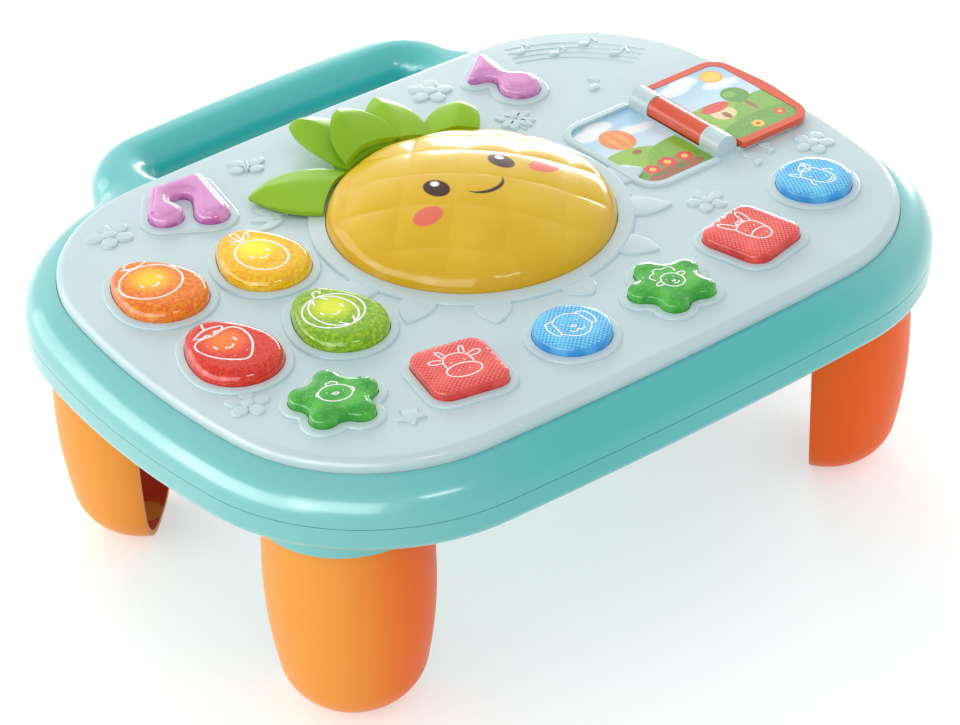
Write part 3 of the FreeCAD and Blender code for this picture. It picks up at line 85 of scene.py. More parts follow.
class Wire:
    """One output in a material's node tree. Sums and products on it add their Math nodes."""

    def __init__(self, socket):
        self.socket = socket

    def maths(self, operation, *values):
        node = self.socket.id_data.nodes.new("ShaderNodeMath")
        node.operation = operation
        for place, value in zip(node.inputs, values):
            if isinstance(value, Wire):
                self.socket.id_data.links.new(value.socket, place)
            else:
                place.default_value = value
        return Wire(node.outputs[0])

    def __add__(self, other):
        return self.maths("ADD", self, other)

    __radd__ = __add__

    def __sub__(self, other):
        return self.maths("SUBTRACT", self, other)

    def __rsub__(self, other):
        return self.maths("SUBTRACT", other, self)

    def __mul__(self, other):
        return self.maths("MULTIPLY", self, other)

    __rmul__ = __mul__

    def __truediv__(self, other):
        return self.maths("DIVIDE", self, other)

    def __pow__(self, other):
        return self.maths("POWER", self, other)

    def __abs__(self):
        return self.maths("ABSOLUTE", self)

    def sine(self):
        return self.maths("SINE", self)

    def fraction(self):
        return self.maths("FRACT", self)

    def most(self, other):
        return self.maths("MAXIMUM", self, other)


class Finish:
    """The finish of a piece: its material and the nodes that vary it."""

    def __init__(self, name, **fixed):
        self.material = bpy.data.materials.new(name)
        self.material.use_nodes = True
        self.tree = self.material.node_tree
        self.surface = self.tree.nodes["Principled BSDF"]
        for socket, value in fixed.items():
            self.surface.inputs[socket.replace("_", " ")].default_value = value

    def node(self, kind, settings, sockets, output=0):
        """A node with its settings made first, then its sockets set or wired."""
        made = self.tree.nodes.new(kind)
        for setting, value in settings.items():
            if setting == "stops":
                while len(made.color_ramp.elements) < len(value):
                    made.color_ramp.elements.new(1.0)
                for element, (place, colour) in zip(made.color_ramp.elements, value):
                    element.position = place
                    element.color = colour
            else:
                setattr(made, setting, value)
        for socket, value in sockets.items():
            if isinstance(value, Wire):
                self.tree.links.new(value.socket, made.inputs[socket])
            else:
                made.inputs[socket].default_value = value
        return Wire(made.outputs[output])

    def lay(self, **wires):
        """Wires values that change over the piece to its surface."""
        for socket, wire in wires.items():
            self.tree.links.new(wire.socket, self.surface.inputs[socket.replace("_", " ")])

    def spot(self, x=0, y=0, z=0, turn=0):
        """Position in millimetres from a point of the table, turned about the upright."""
        place = self.node("ShaderNodeTexCoord", {}, {}, "Object")
        return self.node("ShaderNodeMapping", {"vector_type": "TEXTURE"},
                         {"Vector": place, "Location": (x / 1000, y / 1000, z / 1000),
                          "Rotation": (0, 0, math.radians(turn)), "Scale": (0.001, 0.001, 0.001)})

    def split(self, spot):
        """The x, y and z of a position."""
        made = self.tree.nodes.new("ShaderNodeSeparateXYZ")
        self.tree.links.new(spot.socket, made.inputs[0])
        return [Wire(output) for output in made.outputs]

    def cloud(self, spot, size, detail=2.0):
        """Noise whose blots are about a size in millimetres."""
        return self.node("ShaderNodeTexNoise", {}, {"Vector": spot, "Scale": 1 / size, "Detail": detail})

    def step(self, value, low, high):
        """Goes smoothly from 0 at one value to 1 at another."""
        return self.node("ShaderNodeMapRange", {"interpolation_type": "SMOOTHSTEP"},
                         {"Value": value, "From Min": low, "From Max": high})

    def tint(self, share, first, second):
        """A colour between two, by share."""
        return self.node("ShaderNodeMix", {"data_type": "RGBA"}, {0: share, 6: first, 7: second}, 2)

    def dent(self, height, millimetres, strength=1.0):
        """Bump of a height in millimetres."""
        return self.node("ShaderNodeBump", {}, {"Height": height, "Strength": strength,
                                                "Distance": millimetres / 1000})

    def oval(self, x, y, at, reach, turn=0, soft=0.4):
        """1 inside an oval, 0 outside, with an edge of soft millimetres."""
        c, s = math.cos(math.radians(turn)), math.sin(math.radians(turn))
        along = (x - at[0]) * (c / reach[0]) + (y - at[1]) * (s / reach[0])
        across = (y - at[1]) * (c / reach[1]) - (x - at[0]) * (s / reach[1])
        round_it = (along * along + across * across) ** 0.5
        edge = soft / min(reach)
        return self.step(round_it, 1 + edge, 1 - edge)


def moulded(name, colour, shade, rough=0.22, coat=0.35, **fixed):
    """Injection-moulded plastic: slow tone changes, a faint orange peel and uneven gloss."""
    finish = Finish(name, Coat_Weight=coat, Coat_Roughness=0.12, IOR=1.45, **fixed)
    spot = finish.spot()
    slow = finish.cloud(spot, 60)
    fine = finish.cloud(spot, 1.4, 3)
    finish.lay(Base_Color=finish.tint(finish.step(slow, 0.3, 0.7), linear(*colour), linear(*shade)),
               Roughness=fine * 0.05 + (rough - 0.03) + slow * 0.03,
               Normal=finish.dent(fine, 0.004, 0.2))
    return finish


def is_seen(tree):
    """1 on rays from the camera, or from gloss or clear plastic; 0 on those that gather light."""
    rays = tree.nodes.new("ShaderNodeLightPath").outputs
    return Wire(rays["Is Camera Ray"]).most(Wire(rays["Is Glossy Ray"])).most(Wire(rays["Is Transmission Ray"]))


world = bpy.data.worlds.new("white_studio")
bpy.context.scene.world = world
world.use_nodes = True
sky = world.node_tree
glow = is_seen(sky) * 0.20 + 0.80
sky.links.new(glow.socket, sky.nodes["Background"].inputs["Strength"])
sky.nodes["Background"].inputs["Color"].default_value = (1, 1, 1, 1)


def softbox(name, place, aim, width, height, watts, lights=True, shows=False):
    """A flat lamp that faces a point. It lights what it faces, shows in its gloss, or both."""
    bpy.ops.object.light_add(type="AREA", location=place)
    lamp = bpy.context.object
    lamp.name = name
    lamp.data.shape = "RECTANGLE"
    lamp.data.size = width
    lamp.data.size_y = height
    lamp.data.energy = watts
    lamp.visible_diffuse = lights
    lamp.visible_glossy = shows
    lamp.rotation_euler = (Vector(aim) - Vector(place)).to_track_quat("-Z", "Y").to_euler()


softbox("left_lamp", (-1.55, 0.75, 0.45), (0, 0, 0.10), 1.7, 0.9, 6.5, shows=True)
softbox("back_lamp", (0.60, 1.60, 0.75), (0, 0, 0.10), 1.5, 0.7, 15)
softbox("back_sheen", (0.60, 1.60, 0.75), (0, 0, 0.10), 1.5, 0.7, 5, False, True)
softbox("back_left_sheen", (-1.15, 1.30, 0.45), (0, 0, 0.10), 1.7, 0.9, 9, False, True)
softbox("left_sheen", (-1.70, 0.10, 0.45), (0, 0, 0.10), 1.9, 1.0, 22, False, True)
softbox("front_left_sheen", (-1.45, -0.95, 0.80), (0, 0, 0.10), 1.3, 1.0, 18, False, True)
softbox("right_sheen", (1.35, 1.10, 0.22), (0, 0, 0.10), 1.2, 0.6, 20, False, True)
softbox("front_sheen", (-0.20, -1.50, 1.35), (0, 0, 0.12), 0.50, 0.24, 4, False, True)

bpy.ops.mesh.primitive_plane_add(size=8, location=(0, 0, 0))
floor = bpy.context.object
floor.name = "studio_floor"
paper = Finish("white_paper_floor", Roughness=0.9)
paper.lay(Base_Color=paper.tint(paper.cloud(paper.spot(), 300), linear(250, 250, 250), linear(246, 247, 248)))
pale = paper.node("ShaderNodeEmission", {}, {"Color": (1, 1, 1, 1), "Strength": 2.25})
shaded = paper.node("ShaderNodeMixShader", {},
                    {0: is_seen(paper.tree) * 0.2, 1: Wire(paper.surface.outputs[0]), 2: pale})
paper.tree.links.new(shaded.socket, paper.tree.nodes["Material Output"].inputs["Surface"])
floor.data.materials.append(paper.material)

# Casing.
# Two glossy teal mouldings meet on a parting line: the rim with its carry handle above, and
# a tray below it that takes the legs, the battery door and the speaker.


middle_y = -21.5
middle = Vector((0.0, middle_y / 1000))


def shape_of(node, finish, smooth=35):
    """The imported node's own shape, merged and smoothed, in a finish."""
    bpy.ops.object.select_all(action="DESELECT")
    made = bpy.data.objects.new(node + "_finished", frame["nodes"][node].data.copy())
    bpy.context.scene.collection.objects.link(made)
    bpy.context.view_layer.objects.active = made
    made.select_set(True)
    bpy.ops.object.mode_set(mode="EDIT")
    bpy.ops.mesh.select_all(action="SELECT")
    bpy.ops.mesh.remove_doubles(threshold=0.00002)
    bpy.ops.object.mode_set(mode="OBJECT")
    bpy.ops.mesh.customdata_custom_splitnormals_clear()
    bpy.ops.object.shade_smooth_by_angle(angle=math.radians(smooth))
    made.data.materials.clear()
    made.data.materials.append(finish.material)
    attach(made, frame["nodes"][node]["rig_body"])
    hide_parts(node)
    return made


def dress(finish, *nodes):
    """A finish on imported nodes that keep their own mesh."""
    for node in nodes:
        data = frame["nodes"][node].data
        data.materials.clear()
        data.materials.append(finish.material)


teal = moulded("teal_plastic", (70, 197, 194), (60, 191, 188), 0.30, 0.8)
# painted reflection: the teal is painted paler towards the two ends of the table, where its gloss catches the light,
# and is deepest along the middle
spot = teal.spot()
painted_sheen = teal.step(abs(teal.split(spot)[0]) + teal.cloud(spot, 60) * 24, 72, 190)
teal.lay(Base_Color=teal.tint(painted_sheen, linear(62, 190, 188), linear(118, 204, 202)))
shape_of("upper_casing", teal)
shape_of("lower_casing", teal)

# Legs.
# Four orange shells, open towards the middle of the table, whose round plugs push into
# sockets in the tray. Their inside faces carry a deeper orange as painted shade.

leg_across, leg_along = 144, 85
# painted shade: the inside of each shell gets a deeper, rougher orange
leg_painted_inner_shade = moulded("orange_leg_inside", (238, 78, 34), (226, 66, 28), 0.5, 0.0)
for leg, side_x, side_y in (("leg_front_left", -1, -1), ("leg_front_right", 1, -1), ("leg_back_left", -1, 1),
                            ("leg_back_right", 1, 1)):
    leg_x, leg_y = side_x * leg_across, side_y * leg_along + middle_y
    skin = moulded(leg + "_plastic", (255, 156, 56), (255, 150, 50), 0.36, 0.0, Specular_IOR_Level=0.25)
    spot = skin.spot(leg_x, leg_y)
    px, py, pz = skin.split(spot)
    # painted shade: the orange is painted paler on the left of each shell and deeper to its right, and deeper on the
    # right-hand legs, as if lit from the left
    round_it = px * 0.8 - py * 0.6 + skin.cloud(spot, 40) * 6 + (-15 if side_x < 0 else 30)
    skin.lay(Base_Color=skin.tint(skin.step(round_it, -24, 26), linear(255, 166, 66), linear(255, 104, 26)))
    made = shape_of(leg, skin)
    made.data.materials.append(leg_painted_inner_shade.material)
    axis = Vector((leg_x / 1000, leg_y / 1000))
    # painted shade: faces turned towards the leg's axis, the inside of the shell, take the deeper orange
    for face in made.data.polygons:
        if (face.center.xy - axis).dot(face.normal.xy) < 0:
            face.material_index = 1

# Top panel.
# One pale aqua moulding carries every button in a raised ring, the hinge blocks of the book
# and small motifs that stand out of it by a millimetre.

aqua = moulded("aqua_panel_plastic", (205, 227, 230), (199, 222, 227), 0.25, 0.15)
shape_of("top_panel", aqua)
panel_top, sunk = 0.1475, 0.0006


def ring_of(at, reach, turn=0, count=24, tip=1.0):
    """Points round an oval in millimetres; a tip under 1 draws its far end to a point."""
    points = []
    for number in range(count):
        angle = 2 * math.pi * number / count
        along = reach[0] * math.cos(angle)
        across = reach[1] * math.sin(angle)
        if tip < 1 and along > 0:
            across *= 1 - (1 - tip) * (along / reach[0]) ** 2
        c, s = math.cos(math.radians(turn)), math.sin(math.radians(turn))
        points.append((at[0] + along * c - across * s, at[1] + along * s + across * c))
    return points


def pillow(points, height, edge, base=panel_top - sunk):
    """A raised motif: its outline extruded, then inset and lifted in steps to a round edge."""
    bpy.ops.object.select_all(action="DESELECT")
    bpy.ops.mesh.primitive_circle_add(vertices=len(points), radius=0.01, fill_type="NGON")
    motif = bpy.context.object
    for vertex, (x, y) in zip(motif.data.vertices, points):
        vertex.co = (x / 1000 + middle.x, y / 1000 + middle.y, base)
    bpy.ops.object.mode_set(mode="EDIT")
    bpy.ops.mesh.select_all(action="SELECT")
    bpy.ops.mesh.normals_make_consistent(inside=False)
    bpy.ops.mesh.extrude_region_move(TRANSFORM_OT_translate={"value": (0, 0, (height - edge) / 1000 + sunk)})
    steps = 4
    for number in range(steps):
        low, high = math.pi / 2 * number / steps, math.pi / 2 * (number + 1) / steps
        bpy.ops.mesh.inset(thickness=(math.cos(low) - math.cos(high)) * edge / 1000, use_even_offset=True)
        bpy.ops.transform.translate(value=(0, 0, (math.sin(high) - math.sin(low)) * edge / 1000))
    bpy.ops.object.mode_set(mode="OBJECT")
    motif.location = (0, 0, 0)
    return motif


def ridge(points, thickness, base=panel_top):
    """A raised line of the moulding along points in millimetres."""
    line = bpy.data.curves.new("ridge", "CURVE")
    line.dimensions = "3D"
    line.bevel_depth = thickness / 2000
    line.bevel_resolution = 2
    line.use_fill_caps = True
    spline = line.splines.new("NURBS")
    spline.points.add(len(points) - 1)
    for point, (x, y) in zip(spline.points, points):
        point.co = (x / 1000 + middle.x, y / 1000 + middle.y, base, 1)
    spline.order_u = 3
    spline.use_endpoint_u = True
    made = bpy.data.objects.new("ridge", line)
    bpy.context.scene.collection.objects.link(made)
    return made


def joined(name, pieces, finish, body, smooth=40):
    """Pieces made into one mesh that rides on a body."""
    bpy.ops.object.select_all(action="DESELECT")
    for piece in pieces:
        piece.select_set(True)
    bpy.context.view_layer.objects.active = pieces[0]
    bpy.ops.object.convert(target="MESH")
    bpy.ops.object.join()
    made = bpy.context.object
    bpy.ops.object.transform_apply(location=True, rotation=True, scale=True)
    made.name = name
    bpy.ops.object.shade_smooth_by_angle(angle=math.radians(smooth))
    made.data.materials.clear()
    made.data.materials.append(finish.material)
    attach(made, body)
    return made


def flower(x, y, reach, turn):
    petals = []
    for number in range(5):
        angle = turn + 72 * number
        at = (x + 0.62 * reach * math.cos(math.radians(angle)), y + 0.62 * reach * math.sin(math.radians(angle)))
        petals.append(pillow(ring_of(at, (0.42 * reach, 0.36 * reach), angle), 1.1, 0.9))
    petals.append(pillow(ring_of((x, y), (0.3 * reach, 0.3 * reach)), 1.7, 0.9))
    return petals


def butterfly(x, y, reach, turn):
    wings = [pillow(ring_of((x, y), (0.55 * reach, 0.13 * reach), turn), 1.6, 0.6)]
    for side in (-1, 1):
        for along, size in ((0.32, 0.5), (-0.3, 0.38)):
            angle = math.radians(turn)
            at = (x + along * reach * math.cos(angle) - side * 0.48 * reach * math.sin(angle),
                  y + along * reach * math.sin(angle) + side * 0.48 * reach * math.cos(angle))
            wings.append(pillow(ring_of(at, (size * reach, 0.32 * reach), turn + side * 60), 1.1, 0.8))
    return wings


def spray(x, y, reach, turn, count=5):
    leaves = []
    for number in range(count):
        angle = turn + (number - (count - 1) / 2) * 34
        at = (x + 0.6 * reach * math.cos(math.radians(angle)), y + 0.6 * reach * math.sin(math.radians(angle)))
        leaves.append(pillow(ring_of(at, (0.45 * reach, 0.17 * reach), angle, tip=0.5), 1.0, 0.4))
    return leaves


def clover(x, y, reach, turn):
    leaves = [ridge([(x, y), (x - 0.3 * reach, y - 0.7 * reach), (x - 0.2 * reach, y - 1.1 * reach)], 1.4)]
    for number in range(4):
        for side in (-1, 1):
            angle = turn + 90 * number + side * 17
            at = (x + 0.55 * reach * math.cos(math.radians(angle)), y + 0.55 * reach * math.sin(math.radians(angle)))
            leaves.append(pillow(ring_of(at, (0.45 * reach, 0.26 * reach), angle), 1.1, 0.8))
    return leaves


def crotchet(x, y, reach, turn):
    c, s = math.cos(math.radians(turn)), math.sin(math.radians(turn))
    top = (x + 0.35 * reach * c - 1.6 * reach * s, y + 0.35 * reach * s + 1.6 * reach * c)
    flag = (top[0] + 0.7 * reach * c + 0.7 * reach * s, top[1] + 0.7 * reach * s - 0.7 * reach * c)
    return [pillow(ring_of((x, y), (0.5 * reach, 0.38 * reach), turn + 20), 1.3, 0.8),
            ridge([(x + 0.4 * reach * c, y + 0.4 * reach * s), top], 1.3), ridge([top, flag], 1.6)]


def star(x, y, reach, turn):
    points = []
    for number in range(10):
        angle = math.radians(turn + 36 * number)
        out = reach if number % 2 == 0 else 0.55 * reach
        points.append((x + out * math.cos(angle), y + out * math.sin(angle)))
    return [pillow(points, 1.2, 0.8)]


motifs = (flower(-138, 104, 11, 20) + butterfly(-54, 114, 10, 60) + flower(57, 114, 11, 50)
          + spray(-66, 64, 16, 120) + clover(72, 65, 10, 30) + crotchet(121, 64, 6, -10)
          + flower(92, -53, 9.5, 10) + flower(166, -46, 10, 35) + crotchet(134, -42, 6, 15)
          + crotchet(146, -38, 5, 15) + flower(-168, -50, 10, 60) + star(-120, -103, 7, 30))
# the curved stave in the back right corner, with notes on it
stave_middle, stave_reach = (88, 40), 72
for line in range(4):
    reach = stave_reach + 5 * line
    motifs.append(ridge([(stave_middle[0] + reach * math.cos(math.radians(angle)),
                          stave_middle[1] + reach * math.sin(math.radians(angle)))
                         for angle in range(26, 79, 6)], 0.9))
for angle, line in ((35, 1), (47, 2.4), (58, 0.6), (70, 1.8)):
    reach = stave_reach + 5 * line
    motifs += crotchet(stave_middle[0] + reach * math.cos(math.radians(angle)),
                       stave_middle[1] + reach * math.sin(math.radians(angle)), 5.5, angle - 100)
# petals that stand out from under the ring of the dome
for angle, reach in ((-168, 13), (-146, 16), (-121, 14), (-90, 10), (-59, 14), (-34, 16), (-12, 13)):
    at = (78 * math.cos(math.radians(angle)), 8 + 78 * math.sin(math.radians(angle)))
    motifs.append(pillow(ring_of(at, (reach, 8.5), angle, 28, 0.45), 1.0, 0.8))
joined("panel_motifs", motifs, aqua, "casing")

# Buttons.
# Each is one translucent moulding that shows a white printed drawing. The fruit ones hold
# glitter and glow from a lamp; the squares and rounds have a fine pyramid pattern below them.

fruits = {"button_orange": (-150.5, 50, 8, (254, 146, 16), (242, 104, 10), (255, 200, 20)),
          "button_yellow": (-99.5, 41, 2, (255, 210, 2), (252, 180, 2), (255, 232, 40)),
          "button_red": (-153.5, -13, 4, (240, 48, 30), (216, 22, 20), (250, 122, 24)),
          "button_lime": (-102, -21.5, 2, (158, 206, 8), (112, 174, 4), (216, 224, 24))}
arc_radius, arc_pitch, arc_front = 389, 8.4, 101
animals = {}
for number, (name, colour, shade) in enumerate((
        ("button_chick", (84, 194, 66), (46, 162, 46)), ("button_cow", (244, 84, 74), (222, 52, 52)),
        ("button_dog", (92, 190, 248), (50, 158, 234)), ("button_sheep", (84, 194, 66), (46, 162, 46)),
        ("button_donkey", (244, 84, 74), (222, 52, 52)), ("button_horse", (92, 190, 248), (50, 158, 234)))):
    turn = (number - 2.5) * arc_pitch
    animals[name] = (arc_radius * math.sin(math.radians(turn)),
                     arc_radius * (1 - math.cos(math.radians(turn))) - arc_front, turn, colour, shade)


def crowned(made, edge, lift, grid=1.0):
    """Swells a flat top: it is cut to a fine grid, which rises by lift over a round edge, in millimetres."""
    bpy.ops.object.select_all(action="DESELECT")
    bpy.context.view_layer.objects.active = made
    made.select_set(True)
    bpy.context.tool_settings.mesh_select_mode = (False, False, True)
    bpy.ops.object.mode_set(mode="EDIT")
    bpy.ops.mesh.select_all(action="DESELECT")
    bpy.ops.object.mode_set(mode="OBJECT")
    points = [vertex.co for vertex in made.data.vertices]
    summit = max(point.z for point in points)
    spans = [(min(point[axis] for point in points), max(point[axis] for point in points)) for axis in (0, 1)]

    def is_top(face):
        return face.normal.z > 0.999 and face.center.z > summit - 0.00005

    for face in made.data.polygons:
        face.select = is_top(face)
    bpy.ops.object.mode_set(mode="EDIT")
    bpy.ops.mesh.hide(unselected=True)
    for axis, (low, high) in enumerate(spans):
        facing = [0, 0, 0]
        facing[axis] = 1
        for number in range(1, int((high - low) * 1000 / grid) + 1):
            at = [0, 0, 0]
            at[axis] = low + number * grid / 1000
            bpy.ops.mesh.select_all(action="SELECT")
            bpy.ops.mesh.bisect(plane_co=at, plane_no=facing)
    bpy.ops.mesh.reveal(select=False)
    bpy.ops.object.mode_set(mode="OBJECT")
    bpy.context.tool_settings.mesh_select_mode = (True, False, False)
    top, side = set(), set()
    for face in made.data.polygons:
        (top if is_top(face) else side).update(face.vertices)
    rim = sorted(top & side)
    tree = KDTree(len(rim))
    for index in rim:
        tree.insert(made.data.vertices[index].co, index)
    tree.balance()
    for index in top - side:
        point = made.data.vertices[index].co
        share = min(1.0, tree.find(point)[2] * 1000 / edge)
        point.z += lift / 1000 * math.sqrt(1 - (1 - share) ** 2)
    bpy.ops.object.shade_smooth_by_angle(angle=math.radians(50))
    bpy.context.view_layer.update()
    return made


def clear_plastic(name, coat=1.0, **fixed):
    """Clear coloured plastic: its sheen is faint face on and strong at a slant."""
    return Finish(name, Coat_Weight=coat, Coat_Roughness=0.03, Coat_IOR=1.40, Specular_IOR_Level=0.1, **fixed)


def glitter(name, x, y, turn, colour, shade, glow):
    """Clear coloured plastic with flecks in it, lit from below its middle."""
    finish = clear_plastic(name, Emission_Strength=0.30)
    spot = finish.spot(x, y + middle_y, 0, turn)
    px, py, pz = finish.split(spot)
    flecks = finish.step(finish.cloud(spot, 0.55, 1), 0.58, 0.70)
    streaks = finish.step(finish.cloud(spot, 1.8, 4), 0.40, 0.62)
    out = (px * px + py * py) ** 0.5
    lit = finish.step(out, 14, 2)
    base = finish.tint(streaks, linear(*shade), linear(*colour))
    base = finish.tint(flecks * finish.step(out, 8, 16) * 0.7, base, linear(*glow))
    base = finish.tint(lit * 0.85, base, linear(*glow))
    finish.lay(Base_Color=base, Emission_Color=finish.tint(lit, (0, 0, 0, 1), linear(*glow)),
               Roughness=flecks * 0.2 + 0.12,
               Normal=finish.dent(finish.cloud(spot, 0.9, 2), 0.05, 0.5))
    return finish


def pyramids(name, x, y, turn, colour, shade, pitch=2.4):
    """Clear coloured plastic over rows of little pyramids; a pitch of 0 leaves it plain."""
    finish = clear_plastic(name + "_plastic")
    spot = finish.spot(x, y + middle_y, 0, turn)
    px, py, pz = finish.split(spot)
    slow = finish.step(finish.cloud(spot, 9), 0.35, 0.65)
    base = finish.tint(slow, linear(*shade), linear(*colour))
    height = finish.cloud(spot, 5)
    if pitch:
        summit = max(vertex.co.z for vertex in frame["nodes"][name].data.vertices) * 1000
        first, second = ((px + py) / pitch).fraction(), ((px - py) / pitch).fraction()
        height = (abs(first - 0.5) + abs(second - 0.5)) * 0.5
        # the pattern ends where the side rounds down
        height = height * finish.step(pz, summit - 1.4, summit - 0.2)
        base = finish.tint(finish.step(height, 0.12, 0.42), base, linear(*[min(255, c + 36) for c in colour]))
    else:
        flecks = finish.step(finish.cloud(spot, 1.2, 2), 0.55, 0.7)
        base = finish.tint(flecks * 0.3, base, linear(*[min(255, c + 45) for c in colour]))
    finish.lay(Base_Color=base, Roughness=slow * 0.06 + 0.14, Normal=finish.dent(height, 0.12, 0.12))
    return finish


ink = Finish("white_ink", Roughness=0.4)
spot = ink.spot()
ink.lay(Base_Color=ink.tint(ink.cloud(spot, 2), linear(252, 252, 250), linear(244, 244, 240)),
        Roughness=ink.cloud(spot, 1) * 0.2 + 0.3)


def loop(x, y, a, b=None, turn=0, count=20):
    """A closed oval stroke."""
    return ring_of((x, y), (a, b or a), turn, count), True


def bend(x, y, a, b, start, end, count=9):
    """An open stroke along part of an oval."""
    points = []
    for number in range(count):
        angle = math.radians(start + (end - start) * number / (count - 1))
        points.append((x + a * math.cos(angle), y + b * math.sin(angle)))
    return points, False


def path(*points):
    return list(points), False


def dot(x, y, size=0.5):
    return [(x - size * 0.3, y), (x + size * 0.3, y)], False, size * 2


def mirror(strokes):
    """Strokes and their mirror images left of the drawing's middle."""
    return strokes + [([(-x, y) for x, y in stroke[0]],) + tuple(stroke[1:]) for stroke in strokes]


over = 0.3


def printed(name, button, x, y, turn, strokes, thick, scale=1.0):
    """White lines printed on a button, laid on its surface point by point from over the table."""
    line = bpy.data.curves.new(name, "CURVE")
    line.dimensions = "3D"
    line.bevel_depth = thick / 2000
    line.bevel_resolution = 1
    line.use_fill_caps = True
    line.resolution_u = 4
    pieces = []
    c, s = math.cos(math.radians(turn)), math.sin(math.radians(turn))
    for stroke in strokes:
        points, closed = stroke[0], stroke[1]
        spline = line.splines.new("NURBS")
        spline.points.add(len(points) - 1)
        for point, (px, py) in zip(spline.points, points):
            wx = (x + (px * c - py * s) * scale) / 1000 + middle.x
            wy = (y + (px * s + py * c) * scale) / 1000 + middle.y
            where = button.ray_cast((wx, wy, over), (0, 0, -1))[1]
            point.co = (wx, wy, where.z + 0.00005, 1)
            if len(stroke) > 2:
                point.radius = stroke[2] / thick
        spline.order_u = 2 if len(points) < 3 else 3
        spline.use_cyclic_u = closed
        spline.use_endpoint_u = not closed
    made = bpy.data.objects.new(name, line)
    bpy.context.scene.collection.objects.link(made)
    made = joined(name, [made], ink, button["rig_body"])
    # the round strokes are pressed flat onto the surface, as ink lies
    for vertex in made.data.vertices:
        where = button.ray_cast((vertex.co.x, vertex.co.y, over), (0, 0, -1))[1]
        vertex.co.z = where.z + max(-0.0002, min(0.00008, (vertex.co.z - where.z) * 0.2))
    return made


